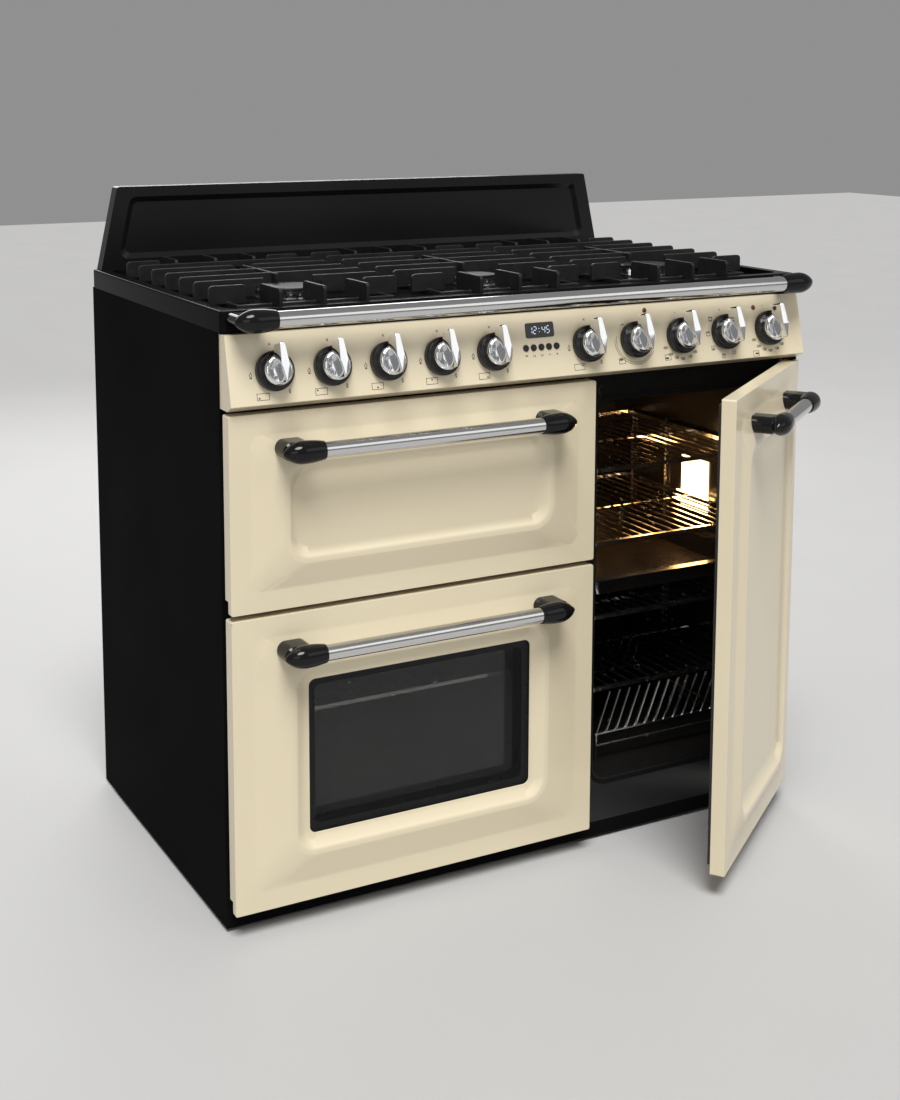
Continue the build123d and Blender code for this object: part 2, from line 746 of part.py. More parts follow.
# Knobs: a round body with a dished face, and a grip across it that reaches out to a pointer
knob_seat = BEZEL_THICKNESS + KNOB_CLEARANCE
body_front = knob_seat + KNOB_BODY
dish_level = body_front - KNOB_DISH
round_share = KNOB_BODY_ROUND * (1 - cos(pi / 4))
tip_radius = KNOB_TIP_WIDTH / 2
with BuildPart() as knob_form:
    with BuildSketch(Plane.XY.offset(dish_level - KNOB_GRIP_LAP)):
        with BuildLine():
            tip_left = (-tip_radius, KNOB_POINTER - tip_radius)
            tip_right = (tip_radius, KNOB_POINTER - tip_radius)
            Polyline(
                tip_left,
                (-KNOB_RIDGE_WIDTH / 2, KNOB_RIDGE),
                (-KNOB_HEEL_WIDTH / 2, -KNOB_HEEL),
                (KNOB_HEEL_WIDTH / 2, -KNOB_HEEL),
                (KNOB_RIDGE_WIDTH / 2, KNOB_RIDGE),
                tip_right,
            )
            ThreePointArc(tip_right, (0, KNOB_POINTER), tip_left)
        make_face()
    extrude(amount=KNOB_FRONT - dish_level + KNOB_GRIP_LAP)
    grip_fall = (KNOB_FRONT - KNOB_TIP_FRONT) / (KNOB_POINTER - KNOB_RIDGE)
    split(
        bisect_by=Plane(origin=(0, KNOB_RIDGE, KNOB_FRONT), z_dir=(0, grip_fall, 1)),
        keep=Keep.BOTTOM,
    )
    chamfer(knob_form.faces().sort_by(Axis.Z)[-1].edges(), KNOB_GRIP_EDGE)
    with BuildSketch(Plane.XZ):
        with BuildLine():
            Polyline(
                (KNOB_RADIUS, body_front - KNOB_BODY_ROUND),
                (KNOB_RADIUS, knob_seat),
                (0, knob_seat),
                (0, dish_level),
                (KNOB_DISH_RADIUS, dish_level),
                (KNOB_RADIUS - KNOB_BODY_ROUND, body_front),
            )
            ThreePointArc(
                (KNOB_RADIUS - KNOB_BODY_ROUND, body_front),
                (KNOB_RADIUS - round_share, body_front - round_share),
                (KNOB_RADIUS, body_front - KNOB_BODY_ROUND),
            )
        make_face()
    revolve(axis=Axis.Z)
    Cylinder(
        SPINDLE_RADIUS + SPINDLE_CLEARANCE,
        SPINDLE_REACH + KNOB_CLEARANCE,
        align=(Align.CENTER, Align.CENTER, Align.MIN),
        mode=Mode.SUBTRACT,
    )
for number, plane in enumerate(knob_planes, start=1):
    keep(knob_form.part.moved(plane.location), f"knob_{number}")


# Gas taps and oven switches behind the panel, each with its spindle
def valve(plane, radius):
    """Tap or switch: a body on the panel's inner face and a spindle through it."""
    with BuildPart() as form:
        with BuildSketch(plane.offset(-SHEET)):
            Circle(radius)
        extrude(amount=-TAP_DEPTH)
        with BuildSketch(plane.offset(-SHEET)):
            Circle(SPINDLE_RADIUS)
        extrude(amount=SHEET + SPINDLE_REACH)
    return form.part


with BuildPart() as manifold_pipe:
    rod(
        (inlet_x, manifold_line.Y, manifold_line.Z),
        (knob_places[GAS_KNOBS - 1] + MANIFOLD_END, manifold_line.Y, manifold_line.Z),
        MANIFOLD_RADIUS,
    )
valves = []
for number, plane in enumerate(knob_planes, start=1):
    if number <= GAS_KNOBS:
        valves.append(valve(plane, TAP_RADIUS) - manifold_pipe.part)
    else:
        valves.append(valve(plane, SWITCH_RADIUS))
keep(Compound(children=valves), "taps_and_switches")

# Gas manifold: a rail behind the taps that runs back to the inlet
with BuildPart() as gas_manifold:
    with BuildLine() as manifold_route:
        FilletPolyline(
            (knob_places[GAS_KNOBS - 1] + MANIFOLD_END, manifold_line.Y, manifold_line.Z),
            (inlet_x, manifold_line.Y, manifold_line.Z),
            (inlet_x, back_inner - INLET_COLLAR, manifold_line.Z),
            radius=MANIFOLD_BEND,
        )
    with BuildSketch(Plane(origin=manifold_route.line @ 0, z_dir=manifold_route.line % 0)):
        Circle(MANIFOLD_RADIUS)
    sweep()
    rod(
        (inlet_x, back_inner - INLET_COLLAR, manifold_line.Z),
        (inlet_x, back_inner, manifold_line.Z),
        INLET_COLLAR_RADIUS,
    )
    rod(
        (inlet_x, back_inner, manifold_line.Z),
        (inlet_x, CABINET_BACK, manifold_line.Z),
        INLET_HOLE,
    )
    rod(
        (inlet_x, CABINET_BACK, manifold_line.Z),
        (inlet_x, CABINET_BACK + INLET_REACH, manifold_line.Z),
        INLET_RADIUS,
    )
keep(gas_manifold.part, "gas_manifold")


# Bar handles and the towel rail share one horn-shaped end
def horn(radius, reach, tall):
    """End piece of a bar that runs along +X from the origin, with an oval post to the back."""
    mouth = radius + HORN_MOUTH_WALL
    belly = radius + HORN_BELLY_WALL
    tip = -HORN_LENGTH - HORN_SOCKET
    swell = mouth + (belly - mouth) * HORN_SHOULDER_SHARE
    with BuildPart() as form:
        with BuildSketch(Plane.XY):
            with BuildLine():
                Polyline((tip, HORN_TIP), (tip, 0), (HORN_SOCKET, 0), (HORN_SOCKET, mouth))
                ThreePointArc(
                    (HORN_SOCKET, mouth),
                    ((HORN_SOCKET - HORN_BELLY) / 2, swell),
                    (-HORN_BELLY, belly),
                )
                ThreePointArc(
                    (-HORN_BELLY, belly),
                    (-HORN_SHOULDER, belly * HORN_SHOULDER_SHARE),
                    (tip, HORN_TIP),
                )
            make_face()
        revolve(axis=Axis.X)
        with BuildSketch(front_plane(POST_FRONT)) as post_face:
            with Locations((-POST_BACK, 0)):
                SlotOverall(POST_WIDTH, tall)
        post = extrude(post_face.sketch, amount=POST_FRONT - reach, mode=Mode.PRIVATE)
        add(post.chamfer(POST_EDGE, None, post.faces().sort_by(Axis.Y)[0].edges()))
        rod((0, 0, 0), (HORN_SOCKET, 0, 0), radius, Mode.SUBTRACT)
    return form.part


def bar(radius, span):
    """Bar along X, centred, whose ends sit in the sockets of its two horns."""
    half = span / 2 + HORN_SOCKET
    with BuildPart() as form:
        rod((-half, 0, 0), (half, 0, 0), radius)
    return form.part


def bar_ends(radius, span, reach, tall):
    """Left and right horn of a bar that is centred on the origin."""
    left = horn(radius, reach, tall).moved(Location((-span / 2 - HORN_SOCKET, 0, 0)))
    return [left, left.mirror(Plane.YZ)]


rail_span = WIDTH - 2 * RAIL_INSET
rail_place = Location((0, HOB_FRONT - RAIL_STANDOFF, RAIL_HEIGHT))
keep(bar(RAIL_RADIUS, rail_span).moved(rail_place), "towel_rail")
rail_horns = bar_ends(RAIL_RADIUS, rail_span, RAIL_STANDOFF, RAIL_POST_TALL)
rail_ends = [end.moved(rail_place) for end in rail_horns]
keep(Compound(children=rail_ends), "towel_rail_ends")


# Doors: a pressed enamelled skin, an inner liner, a bar handle, and glass in the main oven's door
def pressed_form(door, panel, sheet, rounds):
    """Solid from the skin's rear to its pressed face, drawn in by the sheet's thickness."""
    face = DOOR_FACE + sheet
    crest = DOOR_FACE - CREST_RISE + sheet
    floor = DOOR_FACE - CREST_RISE + BEVEL_DEPTH + sheet
    field = door.grow(-FIELD_INSET - sheet)
    mouth = panel.grow(BEVEL + sheet)
    ridge = mouth.grow(CREST_WIDTH - 2 * sheet)
    with BuildPart() as form:
        slab(door.grow(-sheet), DOOR_SKIN_REAR, face, DOOR_CORNER)
        frustum(
            field,
            face,
            FIELD_CORNER,
            ridge,
            crest,
            PANEL_CORNER + BEVEL + CREST_WIDTH,
        )
        frustum(
            mouth,
            crest,
            PANEL_CORNER + BEVEL,
            panel.grow(sheet),
            floor,
            PANEL_CORNER,
            Mode.SUBTRACT,
        )
        if rounds:
            level = form.edges().group_by(Axis.Y)[0]
            ridge_edges = level.filter_by(lambda e: e.bounding_box().min.Y > crest - 0.01)
            fillet(ridge_edges, CREST_ROUND)
    return form.part


def door_skin(door, panel, form, notches, window=None):
    """Hollow skin with a turned-in lip at its back, notched at its hinges."""
    with BuildPart() as hollow:
        add(pressed_form(door, panel, SHEET, False))
        slab(door, DOOR_SKIN_REAR, DOOR_SKIN_REAR - SHEET, 0, Mode.SUBTRACT)
    with BuildPart() as skin:
        add(form)
        add(hollow.part, mode=Mode.SUBTRACT)
        slab(
            door.grow(-DOOR_LIP),
            DOOR_SKIN_REAR,
            DOOR_SKIN_REAR - SHEET,
            DOOR_CORNER,
            Mode.SUBTRACT,
        )
        if window is not None:
            slab(window, DOOR_SKIN_REAR, DOOR_FACE - CREST_RISE, WINDOW_CORNER, Mode.SUBTRACT)
        for low, high in notches:
            block(low, high, Mode.SUBTRACT)
    return skin.part


def door_liner(door, oven, boxes, cuts, bores, window=None):
    """Inner panel: a shallow pan with a pressed plug that enters the oven's mouth."""
    plug = oven.grow(-PLUG_INSET)
    plug_rear = DOOR_LINER_REAR + PLUG_DEPTH
    with BuildPart() as liner:
        slab(door.grow(-LINER_INSET), DOOR_LINER_REAR, DOOR_SKIN_REAR, DOOR_CORNER)
        slab(
            door.grow(-LINER_INSET - SHEET),
            DOOR_LINER_REAR - SHEET,
            DOOR_SKIN_REAR,
            DOOR_CORNER,
            Mode.SUBTRACT,
        )
        frustum(
            plug.grow(-PLUG_TAPER),
            plug_rear,
            PLUG_CORNER,
            plug,
            DOOR_LINER_REAR - SHEET,
            PLUG_CORNER,
        )
        frustum(
            plug.grow(-PLUG_TAPER - SHEET),
            plug_rear - SHEET,
            PLUG_CORNER,
            plug.grow(-SHEET),
            DOOR_LINER_REAR - SHEET,
            PLUG_CORNER,
            Mode.SUBTRACT,
        )
        if window is not None:
            slab(window, plug_rear, DOOR_LINER_REAR, WINDOW_CORNER, Mode.SUBTRACT)
        for low, high in boxes:
            block(low, high)
        for low, high in cuts:
            block(low, high, Mode.SUBTRACT)
        for start, end in bores:
            rod(start, end, PIN_RADIUS + PIN_CLEARANCE, Mode.SUBTRACT)
    return liner.part


def door_handle(door, span, form):
    """Bar and two horns whose posts are cut to the pressed face they stand on."""
    place = Location((door.middle[0], DOOR_FACE - BAR_STANDOFF, door.top - BAR_DROP))
    pieces = [bar(BAR_RADIUS, span).moved(place)]
    for end in bar_ends(BAR_RADIUS, span, BAR_STANDOFF, POST_TALL):
        pieces.append(end.moved(place) - form)
    return Compound(children=pieces)


box_front = DOOR_FACE + SHEET + HINGE_BOX_GAP
slot_half = HINGE_PLATE / 2 + HINGE_SLOT_GAP
arm_half = HINGE_ARM / 2


def drop_hinge_places(door):
    """Middles of the two hinges along a door's lower edge."""
    z = door.bottom + DROP_PIVOT_RISE
    return [(x, PIVOT_Y, z) for x in (door.left + DROP_HINGE_INSET, door.right - DROP_HINGE_INSET)]


def drop_notches(door):
    """Clear spaces in the skin for the hinge boxes, for the arms and at the lower corners."""
    notches = []
    for x, y, z in drop_hinge_places(door):
        reach = HINGE_BOX_HALF + HINGE_BOX_GAP
        low = (x - reach, DOOR_SKIN_REAR - SHEET, door.bottom + SHEET)
        high = (x + reach, DOOR_SKIN_REAR, door.bottom + HINGE_BOX_RISE + HINGE_BOX_GAP)
        notches.append((low, high))
        low = (x - slot_half, box_front, door.bottom)
        high = (x + slot_half, DOOR_SKIN_REAR, door.bottom + SHEET)
        notches.append((low, high))
    for side in (door.left, door.right - DOOR_LIP):
        low = (side, DOOR_SKIN_REAR - RELIEF_DEPTH, door.bottom)
        high = (side + DOOR_LIP, DOOR_SKIN_REAR, door.bottom + RELIEF_TALL)
        notches.append((low, high))
    return notches


def drop_boxes(door):
    """Hinge boxes of a liner, with the slots for the arms and the bores for the pins."""
    boxes = []
    cuts = []
    bores = []
    for x, y, z in drop_hinge_places(door):
        low = (x - HINGE_BOX_HALF, box_front, z - HINGE_BOX_DROP)
        high = (x + HINGE_BOX_HALF, DOOR_LINER_REAR, door.bottom + HINGE_BOX_RISE)
        boxes.append((low, high))
        low = (x - slot_half, y - arm_half - HINGE_SLOT_GAP, door.bottom)
        high = (x + slot_half, DOOR_LINER_REAR, z + arm_half + HINGE_SLOT_GAP)
        cuts.append((low, high))
        bores.append(((x - HINGE_BOX_HALF, y, z), (x + HINGE_BOX_HALF, y, z)))
    return boxes, cuts, bores


def drop_bracket(x, y, z):
    """Arm on the front frame with a pin across its rounded end."""
    with BuildPart() as form:
        with BuildSketch(Plane.YZ.offset(x - HINGE_PLATE / 2)):
            with Locations(((y + CABINET_FRONT) / 2, z)):
                Rectangle(CABINET_FRONT - y, HINGE_ARM)
            with Locations((y, z)):
                Circle(arm_half)
        extrude(amount=HINGE_PLATE)
        rod((x - HINGE_PIN_HALF, y, z), (x + HINGE_PIN_HALF, y, z), PIN_RADIUS)
    return form.part


# The tall door turns on two upright pins near its right edge.
tall_pivot_x = tall_door.right - TALL_PIVOT_INSET
tall_axis = Axis((tall_pivot_x, PIVOT_Y, 0), (0, 0, 1))
tall_box_left = tall_pivot_x - TALL_BOX / 2
tall_box_right = tall_door.right - SHEET - HINGE_BOX_GAP
tall_boxes = []
tall_bores = []
tall_notches = []
tall_brackets = []
for side in (-1, 1):
    edge = tall_door.top if side > 0 else tall_door.bottom
    near = edge - side * (SHEET + HINGE_BOX_GAP)
    far = near - side * TALL_BOX
    tall_boxes.append((
        (tall_box_left, box_front, min(near, far)),
        (tall_box_right, DOOR_LINER_REAR, max(near, far)),
    ))
    tall_bores.append(((tall_pivot_x, PIVOT_Y, min(near, far)), (tall_pivot_x, PIVOT_Y, max(near, far))))
    inside = edge - side * SHEET
    tall_notches.append((
        (tall_box_left - HINGE_BOX_GAP, DOOR_SKIN_REAR - SHEET, min(inside, far - side * HINGE_BOX_GAP)),
        (tall_door.right - SHEET, DOOR_SKIN_REAR, max(inside, far - side * HINGE_BOX_GAP)),
    ))
    hole_half = PIN_RADIUS + HINGE_BOX_GAP
    tall_notches.append((
        (tall_pivot_x - hole_half, PIVOT_Y - hole_half, min(edge, inside)),
        (tall_pivot_x + hole_half, PIVOT_Y + hole_half, max(edge, inside)),
    ))
    plate_near = edge + side * TALL_PLATE_GAP
    plate_far = plate_near + side * TALL_PLATE
    with BuildPart() as tall_bracket:
        with BuildSketch(Plane.XY.offset(min(plate_near, plate_far))):
            with Locations((tall_pivot_x, (PIVOT_Y + CABINET_FRONT) / 2)):
                Rectangle(2 * TALL_PLATE_HALF, CABINET_FRONT - PIVOT_Y)
            with Locations((tall_pivot_x, PIVOT_Y)):
                Circle(TALL_PLATE_HALF)
        extrude(amount=TALL_PLATE)
        rod(
            (tall_pivot_x, PIVOT_Y, plate_near),
            (tall_pivot_x, PIVOT_Y, plate_near - side * TALL_PIN),
            PIN_RADIUS,
        )
    tall_brackets.append(tall_bracket.part)

window = Region(
    main_door.middle[0] - WINDOW_WIDTH / 2,
    main_door.middle[0] + WINDOW_WIDTH / 2,
    main_door.middle[1] - WINDOW_TALL / 2,
    main_door.middle[1] + WINDOW_TALL / 2,
)
inner_window = window.grow(INNER_WINDOW_GROW)
grill_panel = grill_door.grow(-GRILL_PANEL_INSET, -GRILL_PANEL_END_INSET)
main_panel = window.grow(WINDOW_RIM)
tall_panel = Region(
    tall_door.left + TALL_PANEL_INSET,
    tall_door.right - TALL_PANEL_INSET,
    tall_door.bottom + TALL_PANEL_BOTTOM_INSET,
    tall_door.top - TALL_PANEL_TOP_INSET,
)

# Grill oven's door
grill_form = pressed_form(grill_door, grill_panel, 0, True)
keep(door_skin(grill_door, grill_panel, grill_form, drop_notches(grill_door)), "grill_door_skin")
keep(door_liner(grill_door, grill_oven, *drop_boxes(grill_door)), "grill_door_liner")
keep(door_handle(grill_door, LEFT_BAR_SPAN, grill_form), "grill_door_handle")

# Main oven's door, with an outer and an inner pane
main_form = pressed_form(main_door, main_panel, 0, True)
main_skin = door_skin(main_door, main_panel, main_form, drop_notches(main_door), window)
keep(main_skin, "main_door_skin")
keep(door_liner(main_door, main_oven, *drop_boxes(main_door), inner_window), "main_door_liner")
keep(door_handle(main_door, LEFT_BAR_SPAN, main_form), "main_door_handle")
outer_pane_front = DOOR_FACE - CREST_RISE + BEVEL_DEPTH + SHEET
inner_pane_rear = DOOR_LINER_REAR + PLUG_DEPTH - SHEET
with BuildPart() as main_door_glass:
    slab(window.grow(GLASS_LAP), outer_pane_front + GLASS, outer_pane_front, WINDOW_CORNER)
    slab(inner_window.grow(INNER_GLASS_LAP), inner_pane_rear, inner_pane_rear - GLASS, WINDOW_CORNER)
keep(main_door_glass.part, "main_door_glass")

# Tall oven's door, modelled shut and turned to where it stands
tall_form = pressed_form(tall_door, tall_panel, 0, True)
tall_skin = door_skin(tall_door, tall_panel, tall_form, tall_notches)
tall_liner = door_liner(tall_door, tall_oven, tall_boxes, [], tall_bores)
tall_handle = door_handle(tall_door, TALL_BAR_SPAN, tall_form)
keep(tall_skin.rotate(tall_axis, TALL_DOOR_AJAR), "tall_door_skin")
keep(tall_liner.rotate(tall_axis, TALL_DOOR_AJAR), "tall_door_liner")
keep(tall_handle.rotate(tall_axis, TALL_DOOR_AJAR), "tall_door_handle")

# Hinge brackets on the front frame
brackets = list(tall_brackets)
for door in (grill_door, main_door):
    for place in drop_hinge_places(door):
        brackets.append(drop_bracket(*place))
keep(Compound(children=brackets), "hinge_brackets")

# Door seals: a soft ring round each oven mouth
with BuildPart() as door_seals:
    for oven in ovens:
        slab(
            oven.grow(SEAL_OFFSET + SEAL_WIDTH),
            CABINET_FRONT,
            CABINET_FRONT - SEAL_THICKNESS,
            CAVITY_CORNER + SEAL_OFFSET + SEAL_WIDTH,
        )
        slab(
            oven.grow(SEAL_OFFSET),
            CABINET_FRONT,
            CABINET_FRONT - SEAL_THICKNESS,
            CAVITY_CORNER + SEAL_OFFSET,
            Mode.SUBTRACT,
        )
keep(door_seals.part, "door_seals")


# Oven cavities: open boxes behind the front frame, two of them with a hole for a fan's shaft
def cavity(oven, shaft_hole):
    """Oven box with rounded corners, open to the front."""
    with BuildPart() as form:
        slab(oven.grow(SHEET), CAVITY_BACK + SHEET, frame_rear, CAVITY_FOLD + SHEET)
        slab(oven, CAVITY_BACK, frame_rear, CAVITY_FOLD, Mode.SUBTRACT)
        if shaft_hole:
            x, z = oven.middle
            rod((x, CAVITY_BACK, z), (x, CAVITY_BACK + SHEET, z), FAN_SHAFT_HOLE, Mode.SUBTRACT)
    return form.part


keep(cavity(grill_oven, False), "grill_cavity")
keep(cavity(main_oven, True), "main_cavity")
keep(cavity(tall_oven, True), "tall_cavity")

# Fan motors behind the ovens, each with its shaft into the oven
motor_front = CAVITY_BACK + SHEET
with BuildPart() as fan_motors:
    for oven in fan_ovens:
        x, z = oven.middle
        rod((x, motor_front, z), (x, motor_front + MOTOR_FLANGE, z), MOTOR_FLANGE_RADIUS)
        rod((x, motor_front, z), (x, motor_front + MOTOR_LENGTH, z), MOTOR_RADIUS)
        rod((x, FAN_FRONT, z), (x, motor_front, z), FAN_SHAFT)
keep(fan_motors.part, "fan_motors")

# Fans: a disc with upright blades round a hub
with BuildPart() as fan_form:
    with BuildSketch(Plane.XZ):
        Circle(FAN_RADIUS)
    extrude(amount=-FAN_DISC)
    with BuildSketch(Plane.XZ):
        Circle(FAN_HUB)
        with PolarLocations(FAN_RADIUS - FAN_BLADE_LENGTH / 2, FAN_BLADES):
            Rectangle(FAN_BLADE_LENGTH, FAN_BLADE)
    extrude(amount=-FAN_DEPTH)
    with BuildSketch(Plane.XZ):
        Circle(FAN_SHAFT + SPINDLE_CLEARANCE)
    extrude(amount=-FAN_DEPTH, mode=Mode.SUBTRACT)
for oven, name in zip(fan_ovens, ("main_oven_fan", "tall_oven_fan")):
    x, z = oven.middle
    keep(fan_form.part.moved(Location((x, FAN_FRONT, z))), name)

# Fan covers: shallow boxes on the back walls, slotted for the air
with BuildPart() as fan_covers:
    for oven in fan_ovens:
        x, z = oven.middle
        cover = Region(x - COVER_HALF, x + COVER_HALF, z - COVER_HALF, z + COVER_HALF)
        slab(cover, CAVITY_BACK, COVER_FRONT, COVER_CORNER)
        slab(
            cover.grow(-SHEET),
            CAVITY_BACK,
            COVER_FRONT + SHEET,
            COVER_CORNER - SHEET,
            Mode.SUBTRACT,
        )
        with BuildSketch(front_plane(COVER_FRONT + SHEET)):
            with Locations((x, z)):
                with PolarLocations(COVER_SLOT_RADIUS, COVER_SLOTS):
                    Rectangle(COVER_SLOT_LENGTH, COVER_SLOT_WIDTH)
                with PolarLocations(COVER_SLOT_RADIUS / 2, COVER_SLOTS // 2):
                    Rectangle(COVER_SLOT_LENGTH, COVER_SLOT_WIDTH)
        extrude(amount=SHEET, mode=Mode.SUBTRACT)
keep(fan_covers.part, "fan_covers")

# Heating elements: a ring round each fan, and a bent grill element under the grill oven's roof
element_z = grill_oven.top - GRILL_ELEMENT_DROP
element_x = grill_oven.middle[0]
with BuildPart() as grill_element:
    with BuildLine() as element_route:
        FilletPolyline(
            (element_x - 1.5 * GRILL_ELEMENT_PITCH, CAVITY_BACK, element_z),
            (element_x - 1.5 * GRILL_ELEMENT_PITCH, GRILL_ELEMENT_FRONT, element_z),
            (element_x - 0.5 * GRILL_ELEMENT_PITCH, GRILL_ELEMENT_FRONT, element_z),
            (element_x - 0.5 * GRILL_ELEMENT_PITCH, GRILL_ELEMENT_BACK, element_z),
            (element_x + 0.5 * GRILL_ELEMENT_PITCH, GRILL_ELEMENT_BACK, element_z),
            (element_x + 0.5 * GRILL_ELEMENT_PITCH, GRILL_ELEMENT_FRONT, element_z),
            (element_x + 1.5 * GRILL_ELEMENT_PITCH, GRILL_ELEMENT_FRONT, element_z),
            (element_x + 1.5 * GRILL_ELEMENT_PITCH, CAVITY_BACK, element_z),
            radius=GRILL_ELEMENT_BEND,
        )
    with BuildSketch(Plane(origin=element_route.line @ 0, z_dir=element_route.line % 0)):
        RegularPolygon(ELEMENT_RADIUS, ELEMENT_SIDES)
    sweep()
with BuildPart() as ring_element:
    with BuildSketch(Plane.XY):
        with Locations((ELEMENT_RING, 0)):
            RegularPolygon(ELEMENT_RADIUS, ELEMENT_SIDES)
    revolve(axis=Axis.Y)
    for x in (-2 * ELEMENT_RADIUS, 2 * ELEMENT_RADIUS):
        rod((x, 0, -ELEMENT_RING), (x, CAVITY_BACK - ELEMENT_Y, -ELEMENT_RING), ELEMENT_RADIUS)
elements = [grill_element.part]
for oven in fan_ovens:
    x, z = oven.middle
    elements.append(ring_element.part.moved(Location((x, ELEMENT_Y, z))))
keep(Compound(children=elements), "heating_elements")

# Oven lamp: a lens on the tall oven's right wall
with BuildPart() as oven_lamp:
    block(
        (tall_oven.right - LAMP_PROUD, LAMP_Y - LAMP_WIDTH / 2, LAMP_Z - LAMP_TALL / 2),
        (tall_oven.right, LAMP_Y + LAMP_WIDTH / 2, LAMP_Z + LAMP_TALL / 2),
    )
    fillet(oven_lamp.faces().sort_by(Axis.X)[0].edges(), LAMP_ROUND)
keep(oven_lamp.part, "oven_lamp")

# Shelf guides: wire ladders on the oven walls
rung_offset = GUIDE_STAND + 2 * GUIDE_WIRE - GUIDE_WELD
shelf_inset = rung_offset - SHELF_LAP


def guide(oven, side, undersides):
    """Wire ladder on one wall, with a rung under each shelf."""
    wall = oven.left if side < 0 else oven.right
    post_x = wall - side * GUIDE_STAND
    rung_x = wall - side * rung_offset
    rungs = [z - SHELF_SEAT - GUIDE_WIRE for z in undersides]
    rung_front = GUIDE_FRONT - GUIDE_OVERHANG
    rung_rear = GUIDE_REAR + GUIDE_OVERHANG
    low = min(rungs) - GUIDE_OVERHANG
    high = max(rungs) + GUIDE_OVERHANG
    with BuildPart() as form:
        for y in (GUIDE_FRONT, GUIDE_MIDDLE, GUIDE_REAR):
            wire((post_x, y, low), (post_x, y, high), GUIDE_WIRE)
        for z in rungs:
            wire((rung_x, rung_front, z), (rung_x, rung_rear, z), GUIDE_WIRE)
        for y in (GUIDE_FRONT, GUIDE_REAR):
            wire((post_x, y, low + GUIDE_WIRE), (wall, y, low + GUIDE_WIRE), GUIDE_WIRE)
            wire((post_x, y, high - GUIDE_WIRE), (wall, y, high - GUIDE_WIRE), GUIDE_WIRE)
    return form.part


def undersides(levels):
    """Underside heights of the shelves whose middles are given."""
    return [z - SHELF_FRAME / 2 for z in levels]


tray_underside = TRAY_LEVEL - SHEET
guide_sets = (
    (grill_oven, undersides(GRILL_SHELVES)),
    (main_oven, undersides(MAIN_SHELVES)),
    (tall_oven, undersides(TALL_SHELVES) + [tray_underside]),
)
guides = []
for oven, heights in guide_sets:
    for side in (-1, 1):
        guides.append(guide(oven, side, heights))
keep(Compound(children=guides), "shelf_guides")


# Wire shelves: a rim, cross wires and a brace
def shelf(oven, level, inset):
    """Wire shelf that spans an oven."""
    half = oven.width / 2 - inset
    middle_x = oven.middle[0]
    middle_y = (SHELF_FRONT + SHELF_REAR) / 2
    depth = SHELF_REAR - SHELF_FRONT
    count = int((2 * half - 2 * SHELF_FRAME) // SHELF_WIRE_PITCH)
    with BuildPart() as form:
        with BuildSketch(Plane.XY.offset(level - SHELF_FRAME / 2)):
            with Locations((middle_x, middle_y)):
                RectangleRounded(2 * half, depth, SHELF_CORNER)
                RectangleRounded(
                    2 * half - 2 * SHELF_FRAME,
                    depth - 2 * SHELF_FRAME,
                    SHELF_CORNER - SHELF_FRAME,
                    mode=Mode.SUBTRACT,
                )
        extrude(amount=SHELF_FRAME)
        with BuildSketch(front_plane(SHELF_REAR - SHELF_FRAME / 2)):
            with Locations((middle_x, level)):
                with GridLocations(SHELF_WIRE_PITCH, 1, count, 1):
                    RegularPolygon(SHELF_WIRE, WIRE_SIDES)
        extrude(amount=depth - SHELF_FRAME)
        wire(
            (middle_x - half + SHELF_FRAME / 2, middle_y, level - SHELF_WIRE),
            (middle_x + half - SHELF_FRAME / 2, middle_y, level - SHELF_WIRE),
            SHELF_WIRE,
        )
    return form.part


shelf_sets = (
    (grill_oven, GRILL_SHELVES),
    (main_oven, MAIN_SHELVES),
    (tall_oven, TALL_SHELVES),
)
shelves = []
for oven, levels in shelf_sets:
    for level in levels:
        shelves.append(shelf(oven, level, shelf_inset))
keep(Compound(children=shelves), "oven_shelves")

# Roasting tray that hangs by its rim
tray_half = tall_oven.width / 2 - shelf_inset
tray_depth = SHELF_REAR - SHELF_FRONT
tray_middle = (tall_oven.middle[0], (SHELF_FRONT + SHELF_REAR) / 2)


def tray_outline(inset, corner):
    """Outline of the roasting tray drawn in by an inset, in the open sketch."""
    with Locations(tray_middle):
        RectangleRounded(2 * (tray_half - inset), tray_depth - 2 * inset, corner)


with BuildPart() as roasting_tray:
    with BuildSketch(Plane.XY.offset(TRAY_LEVEL - SHEET)):
        tray_outline(0, TRAY_CORNER)
    extrude(amount=SHEET)
    with BuildSketch(Plane.XY.offset(TRAY_LEVEL)):
        tray_outline(TRAY_RIM, TRAY_CORNER)
    with BuildSketch(Plane.XY.offset(TRAY_LEVEL - TRAY_DEPTH)):
        tray_outline(TRAY_RIM + TRAY_TAPER, TRAY_CORNER)
    loft(ruled=True)
    with BuildSketch(Plane.XY.offset(TRAY_LEVEL)):
        tray_outline(TRAY_RIM + SHEET, TRAY_CORNER)
    with BuildSketch(Plane.XY.offset(TRAY_LEVEL - TRAY_DEPTH + SHEET)):
        tray_outline(TRAY_RIM + TRAY_TAPER + SHEET, TRAY_CORNER)
    loft(ruled=True, mode=Mode.SUBTRACT)
keep(roasting_tray.part, "roasting_tray")

